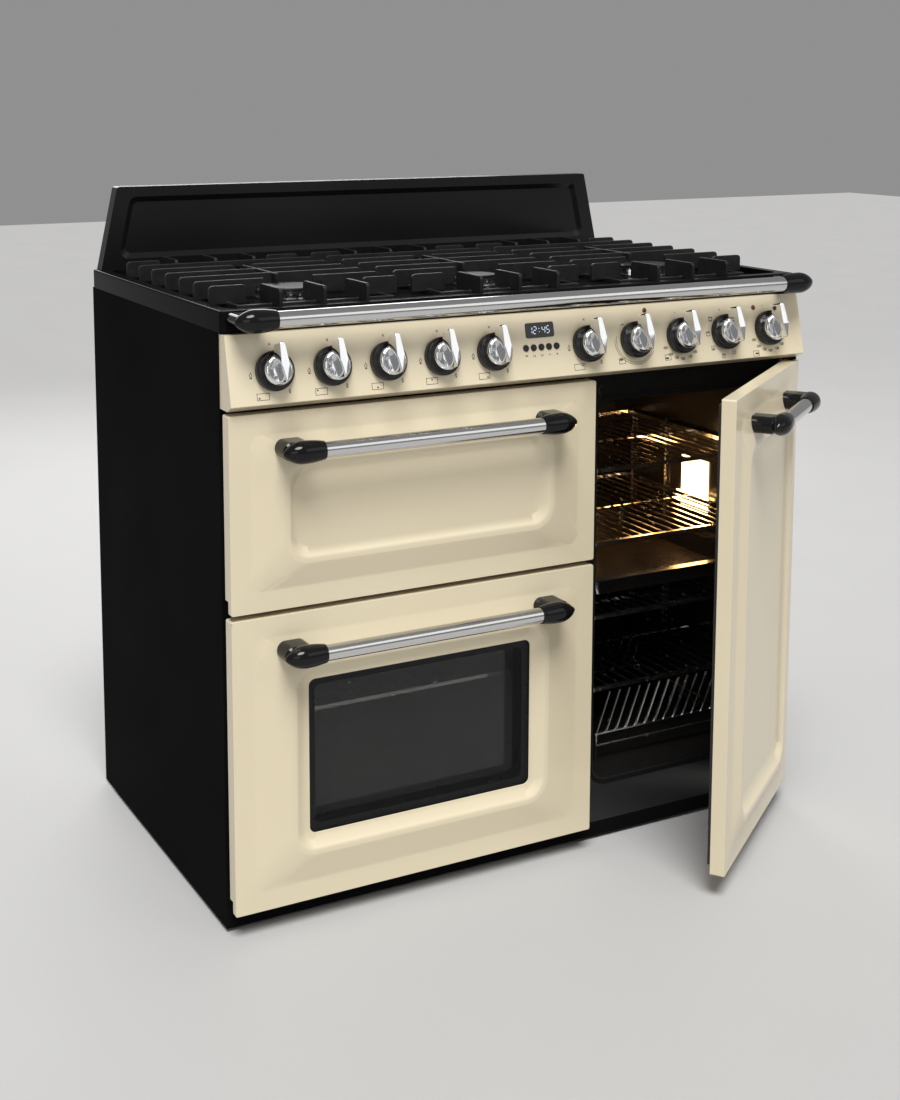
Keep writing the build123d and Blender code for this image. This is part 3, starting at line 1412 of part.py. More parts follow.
# Plate rack on the tall oven's floor: two rails of leaning prongs on legs, with a sill in front
rack_floor = tall_oven.bottom
rack_rail = rack_floor + RACK_HEIGHT
rack_x = tall_oven.middle[0]
rack_half = RACK_PITCH * (RACK_PRONGS - 1) / 2
rack_left = rack_x - rack_half
rack_right = rack_x + rack_half
with BuildPart() as plate_rack:
    for y in (RACK_FRONT, RACK_REAR):
        wire((rack_left - RACK_WIRE, y, rack_rail), (rack_right + RACK_WIRE, y, rack_rail), RACK_WIRE)
    for x in (rack_left, rack_right):
        wire((x, RACK_FRONT, rack_rail), (x, RACK_REAR, rack_rail), RACK_WIRE)
        for y in (RACK_FRONT, RACK_REAR):
            wire((x, y, rack_floor), (x, y, rack_rail), RACK_WIRE)
    rack_sill = rack_rail - RACK_SILL
    wire((rack_left, RACK_FRONT, rack_sill), (rack_right, RACK_FRONT, rack_sill), RACK_WIRE)
    with BuildSketch(Plane.XY.offset(rack_rail)):
        with Locations((rack_x, RACK_FRONT), (rack_x, RACK_REAR)):
            with GridLocations(RACK_PITCH, 1, RACK_PRONGS, 1):
                RegularPolygon(RACK_WIRE, WIRE_SIDES)
    prong = Vector(0, RACK_LEAN, RACK_TOP - RACK_HEIGHT)
    extrude(amount=prong.length, dir=prong.normalized())
keep(plate_rack.part, "plate_rack")

# Burners: a cup through the hob, a flange on it and a crown cut by flame ports, under a loose cap
crown_foot = dish_floor + BURNER_FLANGE_THICKNESS
crown_top = crown_foot + BURNER_CROWN


def burner_head(x, y, radius):
    """Burner head with its cup below the hob."""
    with BuildPart() as form:
        rod((x, y, dish_floor - BURNER_CUP_DROP), (x, y, dish_floor), radius * BURNER_CUP_SHARE)
        rod((x, y, dish_floor), (x, y, crown_foot), radius + BURNER_FLANGE)
        rod((x, y, crown_foot), (x, y, crown_top), radius)
        with BuildSketch(Plane.XY.offset(crown_top)):
            with Locations((x, y)):
                with PolarLocations(radius, BURNER_PORTS):
                    Rectangle(2 * BURNER_PORT_DEPTH, BURNER_PORT_WIDTH)
        extrude(amount=-BURNER_CROWN / 2, mode=Mode.SUBTRACT)
    return form.part


def burner_cap(x, y, radius):
    """Round cap on a burner's crown."""
    with BuildPart() as form:
        rod((x, y, crown_top), (x, y, crown_top + CAP_THICKNESS), radius - CAP_INSET)
        chamfer(form.edges().sort_by(Axis.Z)[-1], CAP_EDGE)
    return form.part


keep(Compound(children=[burner_head(*burner) for burner in burners]), "burner_heads")
keep(Compound(children=[burner_cap(*burner) for burner in burners]), "burner_caps")


# Pan supports: cast fingers from all four sides on a base ring
finger_foot = dish_floor + FINGER_LIFT


def finger_along_x(left, right, y):
    """Upright rib along X with rounded top corners, in the open part."""
    with BuildSketch(front_plane(y + FINGER / 2)) as face:
        outline(Region(left, right, finger_foot, SUPPORT_TOP))
        fillet(face.vertices().group_by(Axis.Y)[-1], FINGER_ROUND)
    extrude(face.sketch, amount=FINGER)


def finger_along_y(front, rear, x):
    """Upright rib along Y with rounded top corners, in the open part."""
    with BuildSketch(Plane.YZ.offset(x - FINGER / 2)) as face:
        outline(Region(front, rear, finger_foot, SUPPORT_TOP))
        fillet(face.vertices().group_by(Axis.Y)[-1], FINGER_ROUND)
    extrude(face.sketch, amount=FINGER)


def pan_support(front_radius, rear_radius):
    """Pan support for a front and a rear burner, centred on X."""
    ring_half = support_half - BASE_BAR_INSET
    ring_front = SUPPORT_FRONT + BASE_BAR_INSET
    ring_rear = SUPPORT_REAR - BASE_BAR_INSET
    rows = [FINGER_MIDDLE + FINGER_PITCH * (i - (FINGER_ROWS - 1) / 2) for i in range(FINGER_ROWS)]
    with BuildPart() as form:
        with BuildSketch(Plane.XY.offset(dish_floor)):
            with Locations((0, (ring_front + ring_rear) / 2)):
                Rectangle(2 * ring_half, ring_rear - ring_front)
                Rectangle(
                    2 * (ring_half - BASE_BAR),
                    ring_rear - ring_front - 2 * BASE_BAR,
                    mode=Mode.SUBTRACT,
                )
        extrude(amount=BASE_BAR)
        for y in rows[1:-1]:
            finger_along_x(-support_half, support_half, y)
        for y in (rows[0], rows[-1]):
            finger_along_x(-support_half, -support_half + STUB, y)
            finger_along_x(support_half - STUB, support_half, y)
        for x in (-CROSS_PITCH, 0, CROSS_PITCH):
            finger_along_y(SUPPORT_FRONT, SUPPORT_FRONT + CROSS_LENGTH, x)
            finger_along_y(SUPPORT_REAR - CROSS_LENGTH, SUPPORT_REAR, x)
        finger_along_y(BURNER_FRONT, BURNER_REAR, 0)
        for y, radius, clear in (
            (BURNER_FRONT, front_radius, FINGER_CLEAR_FRONT),
            (BURNER_REAR, rear_radius, FINGER_CLEAR_REAR),
        ):
            rod((0, y, dish_floor), (0, y, SUPPORT_TOP), clear, Mode.SUBTRACT)
            under = radius + BURNER_FLANGE + SUPPORT_GAP
            rod((0, y, dish_floor), (0, y, crown_top + CAP_THICKNESS + SUPPORT_GAP), under, Mode.SUBTRACT)
    return form.part


support_names = ("pan_support_left", "pan_support_centre", "pan_support_right")
for index, name in enumerate(support_names):
    front_radius = burners[2 * index][2]
    rear_radius = burners[2 * index + 1][2]
    place = Location((support_middles[index], 0, 0))
    keep(pan_support(front_radius, rear_radius).moved(place), name)
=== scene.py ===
import json
from math import cos, radians, sin, tau

import bpy
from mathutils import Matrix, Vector


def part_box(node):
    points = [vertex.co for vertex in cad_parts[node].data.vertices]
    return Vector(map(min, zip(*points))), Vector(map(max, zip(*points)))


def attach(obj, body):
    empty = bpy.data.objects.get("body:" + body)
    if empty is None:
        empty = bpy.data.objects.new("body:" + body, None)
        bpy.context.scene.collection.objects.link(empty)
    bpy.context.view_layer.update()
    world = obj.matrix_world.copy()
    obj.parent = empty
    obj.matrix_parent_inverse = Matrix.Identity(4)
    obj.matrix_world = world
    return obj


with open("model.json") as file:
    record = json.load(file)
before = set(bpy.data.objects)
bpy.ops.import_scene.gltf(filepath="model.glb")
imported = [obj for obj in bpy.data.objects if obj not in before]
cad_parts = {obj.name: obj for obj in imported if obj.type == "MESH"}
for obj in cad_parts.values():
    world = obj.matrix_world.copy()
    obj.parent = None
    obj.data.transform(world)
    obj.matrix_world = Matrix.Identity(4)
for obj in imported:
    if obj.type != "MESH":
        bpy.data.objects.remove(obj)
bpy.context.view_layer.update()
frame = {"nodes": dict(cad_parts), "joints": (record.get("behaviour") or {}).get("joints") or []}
nodes = frame["nodes"]
joints = {joint["name"]: joint for joint in frame["joints"]}
scene = bpy.context.scene
scene.view_settings.view_transform = "Standard"

# Camera, solved from the photograph's edges, with the principal point in pixels of its frame
PHOTO_WIDTH = 900
PHOTO_HEIGHT = 1100
FOCAL_PIXELS = 1621.5
SENSOR_WIDTH = 36.0
PRINCIPAL = (414.2, 309.5)
CAMERA_PLACE = (-1.2796, -2.3315, 1.1984)
CAMERA_YAW = radians(27.792)
CAMERA_PITCH = radians(7.758)

# Colours, linear
CREAM = (0.690, 0.605, 0.432)
CREAM_SHADE = (0.672, 0.587, 0.416)
BLACK_GLOSS = (0.0045, 0.0045, 0.0048)
BLACK_SATIN = (0.0060, 0.0060, 0.0063)
BEZEL_BLACK = (0.0085, 0.0085, 0.0088)
OVEN_BLACK = (0.0100, 0.0090, 0.0085)
OVEN_SPECK = (0.0300, 0.0290, 0.0285)
IRON = (0.0075, 0.0075, 0.0078)
IRON_WORN = (0.0130, 0.0128, 0.0125)
STEEL = (0.680, 0.680, 0.675)
CHROME = (0.820, 0.825, 0.835)
WIRE = (0.700, 0.690, 0.670)
ZINC = (0.470, 0.480, 0.490)
ZINC_DARK = (0.380, 0.390, 0.400)
ALUMINIUM = (0.800, 0.800, 0.795)
BRASS = (0.640, 0.460, 0.190)
ELEMENT = (0.090, 0.080, 0.075)
RUBBER = (0.007, 0.007, 0.007)
INK = (0.022, 0.018, 0.014)
AMBER = (0.130, 0.026, 0.008)
CERAMIC = (0.780, 0.760, 0.720)
DISPLAY_BLACK = (0.004, 0.004, 0.005)
LAMP_GLOW = (1.000, 0.740, 0.400)
LAMP_LIGHT = (1.000, 0.520, 0.170)
DIGIT_GLOW = (0.700, 0.850, 1.000)
PANE = (0.008, 0.009, 0.009)
PANE_COATED = (0.050, 0.056, 0.050)
FLOOR = (0.450, 0.446, 0.440)
BACKDROP = (0.280, 0.280, 0.280)

# Edge rounds of sheet metal and castings, in metres
SHEET_EDGE = 0.0006
CAST_EDGE = 0.0010
KNOB_EDGE = 0.0006
EDGE_STEPS = 2
KNOB_STEPS = 3
NORMAL_WEIGHT = 80
ROUND_ANGLE = radians(32)
SPLIT_ANGLE = radians(30)
SHALLOW_SPLIT = radians(8)
FLAT_ANGLE = radians(0.6)
WELD_DISTANCE = 1e-5

# Patterns of the materials: span of a cloudy pattern, grain per metre, relief in metres
PATTERN_LOW = 0.3
PATTERN_HIGH = 0.7
COAT_ROUGHNESS = 0.05
PEEL_GRAIN = 55
PEEL_DEPTH = 0.00003
SPECK_CELLS = 420
SPECK_EDGE = (0.08, 0.14)
SPANGLE_CELLS = 95
BRUSH_LINES = (6, 900, 900)
LINE_DEPTH = 0.00001
SAND_GRAIN = 800
SAND_DEPTH = 0.00015
TURNED_GRAIN = 900
TURNED_DEPTH = 0.00005
MOULD_GRAIN = 700
MOULD_DEPTH = 0.00002


def shaded(colour, factor):
    """Colour made darker or lighter."""
    return tuple(channel * factor for channel in colour)


# Materials
class Paint:
    """Material with a principled shader, made in steps."""

    def __init__(self, name, colour, roughness, metallic=0.0, **sockets):
        self.material = bpy.data.materials.new(name)
        self.material.use_nodes = True
        self.tree = self.material.node_tree
        self.shader = self.tree.nodes["Principled BSDF"]
        self.set("Base Color", (*colour, 1.0))
        self.set("Roughness", roughness)
        self.set("Metallic", metallic)
        for socket, value in sockets.items():
            self.set(socket.replace("_", " "), value)
        self.height = None

    def set(self, socket, value):
        self.shader.inputs[socket].default_value = value

    def node(self, kind, **values):
        made = self.tree.nodes.new(kind)
        for key, value in values.items():
            setattr(made, key, value)
        return made

    def link(self, source, target):
        self.tree.links.new(source, target)

    def place(self, scale, turn=0.0):
        """Coordinates in metres along the part's axes, stretched, and turned about Z."""
        where = self.node("ShaderNodeTexCoord")
        turned = self.node("ShaderNodeMapping", vector_type="TEXTURE")
        turned.inputs["Rotation"].default_value = (0, 0, turn)
        stretched = self.node("ShaderNodeMapping")
        stretched.inputs["Scale"].default_value = scale
        self.link(where.outputs["Object"], turned.inputs["Vector"])
        self.link(turned.outputs["Vector"], stretched.inputs["Vector"])
        return stretched.outputs["Vector"]

    def noise(self, scale, detail=3.0, stretch=(1, 1, 1), turn=0.0):
        """Cloudy pattern with so many features per metre."""
        noise = self.node("ShaderNodeTexNoise")
        noise.inputs["Scale"].default_value = scale
        noise.inputs["Detail"].default_value = detail
        self.link(self.place(stretch, turn), noise.inputs["Vector"])
        return noise.outputs["Fac"]

    def cells(self, scale, feature="F1", output="Distance"):
        """Cell pattern with so many cells per metre."""
        cells = self.node("ShaderNodeTexVoronoi", feature=feature)
        cells.inputs["Scale"].default_value = scale
        self.link(self.place((1, 1, 1)), cells.inputs["Vector"])
        return cells.outputs[output]

    def ramp(self, source, low, high, to_low=0.0, to_high=1.0):
        """Value remapped from one span to another."""
        span = self.node("ShaderNodeMapRange")
        values = {"From Min": low, "From Max": high, "To Min": to_low, "To Max": to_high}
        for socket, value in values.items():
            span.inputs[socket].default_value = value
        self.link(source, span.inputs["Value"])
        return span.outputs["Result"]

    def colours(self, factor, first, second):
        """Base colour that goes from one colour to another."""
        mix = self.node("ShaderNodeMix", data_type="RGBA")
        self.link(factor, mix.inputs["Factor"])
        for socket in mix.inputs:
            if socket.type == "RGBA":
                socket.default_value = (*(first if socket.name == "A" else second), 1.0)
        out = next(socket for socket in mix.outputs if socket.type == "RGBA")
        self.link(out, self.shader.inputs["Base Color"])
        return self

    def rough(self, factor, low, high):
        """Roughness that follows a pattern."""
        spread = self.ramp(factor, PATTERN_LOW, PATTERN_HIGH, low, high)
        self.link(spread, self.shader.inputs["Roughness"])
        return self

    def bump(self, height, depth, strength=1.0):
        """Surface relief of a depth in metres."""
        bump = self.node("ShaderNodeBump")
        bump.inputs["Strength"].default_value = strength
        bump.inputs["Distance"].default_value = depth
        self.link(height, bump.inputs["Height"])
        if self.height is not None:
            self.link(self.height, bump.inputs["Normal"])
        self.height = bump.outputs["Normal"]
        self.link(self.height, self.shader.inputs["Normal"])
        return self


def enamel(name, colour, shade, roughness, ior=1.5, coat=0.0):
    """Fired enamel: a smooth gloss with faint orange peel and faint cloudiness."""
    paint = Paint(name, colour, roughness, Coat_Weight=coat, Coat_Roughness=COAT_ROUGHNESS, IOR=ior)
    paint.colours(paint.ramp(paint.noise(4, 1.0), 0.35, 0.65), colour, shade)
    paint.rough(paint.noise(5, 1.0), roughness * 0.96, roughness * 1.04)
    paint.bump(paint.noise(PEEL_GRAIN, 1.0), PEEL_DEPTH, 0.06)
    return paint.material


def oven_enamel(name, low, high):
    """Dark glossy oven enamel with fine pale specks."""
    paint = Paint(name, OVEN_BLACK, low, Specular_IOR_Level=0.45)
    specks = paint.ramp(paint.cells(SPECK_CELLS), *SPECK_EDGE, 1.0, 0.0)
    paint.colours(specks, OVEN_BLACK, OVEN_SPECK)
    paint.rough(paint.noise(30), low, high)
    paint.bump(paint.noise(PEEL_GRAIN, 1.0), PEEL_DEPTH, 0.05)
    return paint.material


def brushed(name, colour, roughness, turn=0.0):
    """Metal with fine lines along its length."""
    paint = Paint(name, colour, roughness, 1.0, Anisotropic=0.30)
    lines = paint.noise(1.0, 4.0, BRUSH_LINES, turn)
    paint.colours(paint.ramp(lines, PATTERN_LOW, PATTERN_HIGH), colour, shaded(colour, 0.93))
    paint.rough(lines, roughness * 0.8, roughness * 1.25)
    paint.bump(lines, LINE_DEPTH, 0.25)
    return paint.material


def bright(name, colour, roughness):
    """Plated metal with faint handling marks."""
    paint = Paint(name, colour, roughness, 1.0)
    marks = paint.ramp(paint.noise(60), PATTERN_LOW, PATTERN_HIGH)
    paint.colours(marks, colour, shaded(colour, 0.95))
    paint.rough(paint.noise(70, 4.0), roughness * 0.7, roughness * 1.4)
    return paint.material


def galvanised():
    """Zinc-coated sheet with spangles."""
    paint = Paint("galvanised_steel", ZINC, 0.42, 1.0)
    spangle = paint.cells(SPANGLE_CELLS, "F1", "Color")
    grey = paint.node("ShaderNodeRGBToBW")
    paint.link(spangle, grey.inputs["Color"])
    paint.colours(grey.outputs["Val"], ZINC, ZINC_DARK)
    paint.rough(grey.outputs["Val"], 0.36, 0.48)
    return paint.material


def cast_iron():
    """Matt enamelled casting with a sandy skin."""
    paint = Paint("support_iron", IRON, 0.5, Specular_IOR_Level=0.35)
    paint.colours(paint.ramp(paint.noise(40, 4.0), 0.4, 0.7), IRON, IRON_WORN)
    paint.rough(paint.noise(120), 0.42, 0.58)
    paint.bump(paint.noise(SAND_GRAIN, 3.0), SAND_DEPTH, 0.5)
    return paint.material


def machined(name, colour, roughness):
    """Cast and turned metal with a fine grain."""
    paint = Paint(name, colour, roughness, 1.0)
    paint.colours(paint.ramp(paint.noise(60, 3.0), 0.35, 0.7), colour, shaded(colour, 0.80))
    paint.rough(paint.noise(300, 3.0), roughness * 0.8, roughness * 1.3)
    paint.bump(paint.noise(TURNED_GRAIN, 2.0), TURNED_DEPTH, 0.4)
    return paint.material


def moulded(name, colour, roughness, specular=0.5):
    """Moulded plastic or painted piece with a fine texture."""
    paint = Paint(name, colour, roughness, Specular_IOR_Level=specular)
    paint.colours(paint.ramp(paint.noise(25), 0.4, 0.65), colour, shaded(colour, 1.12))
    paint.rough(paint.noise(90), roughness * 0.9, roughness * 1.15)
    paint.bump(paint.noise(MOULD_GRAIN, 2.0), MOULD_DEPTH, 0.2)
    return paint.material


def glowing(name, colour, strength):
    """Lit surface with a slightly uneven gloss."""
    paint = Paint(name, colour, 0.3, Emission_Strength=strength)
    paint.set("Emission Color", (*colour, 1.0))
    paint.rough(paint.noise(60), 0.25, 0.4)
    return paint.material


def pane(name, colour, alpha, specular):
    """Tinted glass face that lets straight light through."""
    paint = Paint(name, colour, 0.03, Alpha=alpha, Specular_IOR_Level=specular)
    paint.rough(paint.noise(8, 1.0), 0.025, 0.04)
    return paint.material


AJAR = -radians(joints["tall_door_hinge"]["range_deg"][0])
materials = {
    "cream": enamel("cream_enamel", CREAM, CREAM_SHADE, 0.26, coat=0.25),
    "splash": enamel("splash_enamel", BLACK_SATIN, BEZEL_BLACK, 0.22, 1.32),
    "frame": enamel("frame_enamel", OVEN_BLACK, BEZEL_BLACK, 0.28, 1.45),
    "hob": enamel("hob_enamel", BLACK_GLOSS, BLACK_SATIN, 0.14, 1.07),
    "side": enamel("side_enamel", BLACK_GLOSS, BLACK_SATIN, 0.50, 1.03),
    "oven": oven_enamel("oven_enamel", 0.16, 0.24),
    "liner": oven_enamel("liner_enamel", 0.22, 0.32),
    "zinc": galvanised(),
    "bar": brushed("bar_steel", STEEL, 0.13),
    "bar_turned": brushed("bar_steel_turned", STEEL, 0.13, AJAR),
    "horn": enamel("black_horn", BLACK_GLOSS, BLACK_SATIN, 0.10, 1.32),
    "wire": bright("chrome_wire", WIRE, 0.20),
    "knob": bright("knob_chrome", CHROME, 0.05),
    "bezel": moulded("bezel_black", BEZEL_BLACK, 0.25, 0.40),
    "plastic": moulded("black_plastic", BLACK_SATIN, 0.40, 0.25),
    "display": moulded("display_glass", DISPLAY_BLACK, 0.06),
    "pane": pane("door_glass", PANE, 0.22, 0.50),
    "coated": pane("door_glass_coated", PANE_COATED, 0.45, 1.0),
    "clear": pane("door_glass_clear", PANE, 0.04, 0.20),
    "lamp": glowing("lamp_lens", LAMP_GLOW, 3.0),
    "seal": moulded("seal_rubber", RUBBER, 0.62, 0.05),
    "brass": machined("tap_brass", BRASS, 0.32),
    "burner": bright("burner_aluminium", ALUMINIUM, 0.17),
    "cap": enamel("cap_enamel", BLACK_SATIN, IRON, 0.34, 1.30),
    "iron": cast_iron(),
    "element": machined("element_steel", ELEMENT, 0.45),
    "ink": moulded("printed_ink", INK, 0.55, 0.2),
    "border": moulded("window_print", DISPLAY_BLACK, 0.30, 0.2),
    "digit": glowing("clock_digits", DIGIT_GLOW, 0.9),
    "amber": moulded("indicator_amber", AMBER, 0.12),
    "ceramic": moulded("igniter_ceramic", CERAMIC, 0.35),
    "screw": bright("screw_steel", ZINC, 0.25),
}


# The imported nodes: finish, and rounded edges where sheets are folded or castings are dressed
PRESSED = ("grill_door_skin", "main_door_skin", "tall_door_skin")


def finish_node(name, *finishes, edge=0.0, steps=EDGE_STEPS, split=SPLIT_ANGLE):
    """Give a node its materials, and round its edges or keep them crisp.

    Flat faces are merged before rounding, except on pressed sheets, whose shallow slopes stay.
    """
    thing = nodes[name]
    thing.data.materials.clear()
    for finish in finishes:
        thing.data.materials.append(materials[finish])
    for face in thing.data.polygons:
        face.use_smooth = True
        face.material_index = 0
    weld = thing.modifiers.new("weld", "WELD")
    weld.merge_threshold = WELD_DISTANCE
    if not edge:
        crisp = thing.modifiers.new("crisp", "EDGE_SPLIT")
        crisp.split_angle = split
        return thing
    if name not in PRESSED:
        flat = thing.modifiers.new("flat", "DECIMATE")
        flat.decimate_type = "DISSOLVE"
        flat.angle_limit = FLAT_ANGLE
    rounding = thing.modifiers.new("rounding", "BEVEL")
    rounding.width = edge
    rounding.segments = steps
    rounding.limit_method = "ANGLE"
    rounding.angle_limit = ROUND_ANGLE
    rounding.use_clamp_overlap = False
    rounding.harden_normals = True
    normals = thing.modifiers.new("normals", "WEIGHTED_NORMAL")
    normals.keep_sharp = False
    normals.weight = NORMAL_WEIGHT
    return thing


plain_finish = {
    "side_panels": ("side", SHEET_EDGE),
    "base_tray": ("zinc", 0.0),
    "feet": ("plastic", SHEET_EDGE),
    "plinth": ("side", SHEET_EDGE),
    "front_frame": ("frame", 0.0),
    "back_panel": ("zinc", 0.0),
    "hob_tray": ("hob", 0.0),
    "control_panel": ("cream", SHEET_EDGE),
    "clock_display": ("display", 0.0),
    "knob_bezels": ("bezel", SHEET_EDGE),
    "towel_rail": ("bar", 0.0),
    "towel_rail_ends": ("horn", 0.0),
    "grill_cavity": ("oven", 0.0),
    "main_cavity": ("oven", 0.0),
    "tall_cavity": ("oven", 0.0),
    "door_seals": ("seal", SHEET_EDGE),
    "heating_elements": ("element", 0.0),
    "shelf_guides": ("wire", 0.0),
    "oven_shelves": ("wire", 0.0),
    "roasting_tray": ("oven", 0.0),
    "plate_rack": ("wire", 0.0),
    "oven_lamp": ("lamp", 0.0),
    "fan_covers": ("oven", 0.0),
    "fan_motors": ("zinc", 0.0),
    "gas_manifold": ("zinc", 0.0),
    "taps_and_switches": ("brass", 0.0),
    "burner_heads": ("burner", 0.0),
    "burner_caps": ("cap", 0.0),
    "hinge_brackets": ("side", 0.0),
    "main_oven_fan": ("zinc", 0.0),
    "tall_oven_fan": ("zinc", 0.0),
    "grill_door_skin": ("cream", SHEET_EDGE),
    "main_door_skin": ("cream", SHEET_EDGE),
    "tall_door_skin": ("cream", SHEET_EDGE),
    "grill_door_liner": ("liner", 0.0),
    "main_door_liner": ("liner", 0.0),
    "tall_door_liner": ("liner", 0.0),
}
for name, (finish, edge) in plain_finish.items():
    finish_node(name, finish, edge=edge)
finish_node("backsplash", "splash", split=SHALLOW_SPLIT)
for name in nodes:
    if name.startswith("knob_") and name != "knob_bezels":
        finish_node(name, "knob", edge=KNOB_EDGE, steps=KNOB_STEPS)
    elif name.startswith("clock_button_"):
        finish_node(name, "bezel")
    elif name.startswith("pan_support_"):
        finish_node(name, "iron", edge=CAST_EDGE)

# The knobs turn round the spindles, whose facets stand back from the facets of the bores
SPINDLE_ROOM = 0.00015
taps = nodes["taps_and_switches"]
slim = taps.modifiers.new("slim", "DISPLACE")
slim.mid_level = 0.0
slim.strength = -SPINDLE_ROOM
taps.modifiers.move(taps.modifiers.find("slim"), taps.modifiers.find("crisp"))

# Bar handles: steel between the horns, which are black
LONG_BAR = 0.353
SHORT_BAR = 0.132
HORN_OVERLAP = 0.001
HANDLES = {
    "grill_door_handle": ("bar", Vector((1, 0, 0)), LONG_BAR),
    "main_door_handle": ("bar", Vector((1, 0, 0)), LONG_BAR),
    "tall_door_handle": ("bar_turned", Vector((cos(AJAR), sin(AJAR), 0)), SHORT_BAR),
}
for name, (finish, along, exposed) in HANDLES.items():
    handle = finish_node(name, finish, "horn")
    reach = [along.dot(vertex.co) for vertex in handle.data.vertices]
    middle = (min(reach) + max(reach)) / 2
    for face in handle.data.polygons:
        offset = abs(along.dot(face.center) - middle)
        face.material_index = 0 if offset < exposed / 2 - HORN_OVERLAP else 1

# Window panes: both front faces mirror the room, the inner one has a heat coating, the rest is clear
PANE_THICKNESS = 0.004
FACE_SLACK = 0.0005
glass = finish_node("main_door_glass", "pane", "coated", "clear")
glass_low, glass_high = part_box("main_door_glass")
coated_front = glass_high.y - PANE_THICKNESS
for face in glass.data.polygons:
    if face.center.y < glass_low.y + FACE_SLACK:
        face.material_index = 0
    elif abs(face.center.y - coated_front) < FACE_SLACK:
        face.material_index = 1
    else:
        face.material_index = 2


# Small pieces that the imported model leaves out
MM = 0.001
FINE_STEPS = 24
DISC_STEPS = 16


class Form:
    """Points and faces of one piece, gathered from small closed shapes."""

    def __init__(self, origin, right, up):
        self.origin = Vector(origin)
        self.right = Vector(right).normalized()
        self.up = Vector(up).normalized()
        self.out = self.right.cross(self.up)
        self.points = []
        self.faces = []

    def at(self, u, v, lift):
        """Point in metres from millimetres along right, up and out."""
        return self.origin + (self.right * u + self.up * v + self.out * lift) * MM

    def add(self, points, faces):
        """One more closed shape."""
        base = len(self.points)
        self.points += points
        self.faces += [tuple(base + index for index in face) for face in faces]

    def prism(self, outline, low, high):
        """Closed plate with an outline that runs anticlockwise."""
        count = len(outline)
        points = [self.at(u, v, lift) for lift in (low, high) for u, v in outline]
        faces = [tuple(range(count, 2 * count)), tuple(reversed(range(count)))]
        for i in range(count):
            j = (i + 1) % count
            faces.append((i, j, count + j, count + i))
        self.add(points, faces)

    def line(self, path, width, low, high):
        """Drawn line as one small plate per stroke."""
        for (u0, v0), (u1, v1) in zip(path, path[1:]):
            length = ((u1 - u0) ** 2 + (v1 - v0) ** 2) ** 0.5
            a = (u1 - u0) / length * width / 2
            b = (v1 - v0) / length * width / 2
            outline = [
                (u0 - a + b, v0 - b - a),
                (u1 + a + b, v1 + b - a),
                (u1 + a - b, v1 + b + a),
                (u0 - a - b, v0 - b + a),
            ]
            self.prism(outline, low, high)

    def arc(self, centre, radius, start, end, width, low, high):
        """Drawn arc, anticlockwise from start to end in degrees."""
        inner = []
        outer = []
        near = radius - width / 2
        far = radius + width / 2
        for i in range(FINE_STEPS + 1):
            angle = radians(start + (end - start) * i / FINE_STEPS)
            u = cos(angle)
            v = sin(angle)
            inner.append((centre[0] + u * near, centre[1] + v * near))
            outer.append((centre[0] + u * far, centre[1] + v * far))
        self.prism(outer + inner[::-1], low, high)

    def disc(self, centre, radius, low, high):
        """Small round plate."""
        outline = []
        for i in range(DISC_STEPS):
            angle = tau * i / DISC_STEPS
            outline.append((centre[0] + radius * cos(angle), centre[1] + radius * sin(angle)))
        self.prism(outline, low, high)

    def lathe(self, centre, profile, steps):
        """Turned piece from (radius, lift) pairs, closed at both ends."""
        points = []
        for radius, lift in profile:
            for i in range(steps):
                angle = tau * i / steps
                u = centre[0] + radius * cos(angle)
                v = centre[1] + radius * sin(angle)
                points.append(self.at(u, v, lift))
        faces = [tuple(reversed(range(steps)))]
        for ring in range(len(profile) - 1):
            for i in range(steps):
                j = (i + 1) % steps
                low = ring * steps
                faces.append((low + i, low + j, low + steps + j, low + steps + i))
        last = (len(profile) - 1) * steps
        faces.append(tuple(range(last, last + steps)))
        self.add(points, faces)

    def piece(self, name, body, finish, smooth=False):
        """The finished piece, which rides on a body."""
        mesh = bpy.data.meshes.new(name)
        mesh.from_pydata(self.points, [], self.faces)
        mesh.materials.append(materials[finish])
        mesh.validate()
        thing = bpy.data.objects.new(name, mesh)
        scene.collection.objects.link(thing)
        if smooth:
            for face in mesh.polygons:
                face.use_smooth = True
            crisp = thing.modifiers.new("crisp", "EDGE_SPLIT")
            crisp.split_angle = SPLIT_ANGLE
        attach(thing, body)


# Printed marks on the control panel, in millimetres from each knob's middle
PRINT_LOW = -0.02
PRINT_HIGH = 0.08
THIN = 0.72
BOLD = 1.0
STROKES = {
    "0": [[(0, 0), (1, 0), (1, 2), (0, 2), (0, 0)]],
    "1": [[(0.2, 1.6), (0.6, 2), (0.6, 0)]],
    "2": [[(0, 2), (1, 2), (1, 1), (0, 1), (0, 0), (1, 0)]],
    "3": [[(0, 2), (1, 2), (1, 0), (0, 0)], [(0.2, 1), (1, 1)]],
    "5": [[(1, 2), (0, 2), (0, 1), (1, 1), (1, 0), (0, 0)]],
    "6": [[(1, 2), (0, 2), (0, 0), (1, 0), (1, 1), (0, 1)]],
    "9": [[(0, 0), (1, 0), (1, 2), (0, 2), (0, 1), (1, 1)]],
}
FLAME = [(0, -3), (1.9, -1.7), (1.6, 0.6), (0.2, 3.4), (-0.4, 1.2), (-1.8, 0.2), (-1.9, -1.7), (0, -3)]
OFF_CROSS = (-3, 37)
HIGH_FLAME = (-34.5, -3)
LOW_FLAME = (21.0, -28.5)
LOW_FLAME_SIZE = 0.72
BURNER_MAP = (-19, -34)
BURNER_DOTS = [(-5.6, -1.9), (-5.6, 1.9), (0, -1.9), (0, 1.9), (5.6, -1.9), (5.6, 1.9)]
DIAL_NUMBERS = {"50": -22, "100": -49, "130": -69, "160": -92, "190": -111, "220": -130, "250": -152}
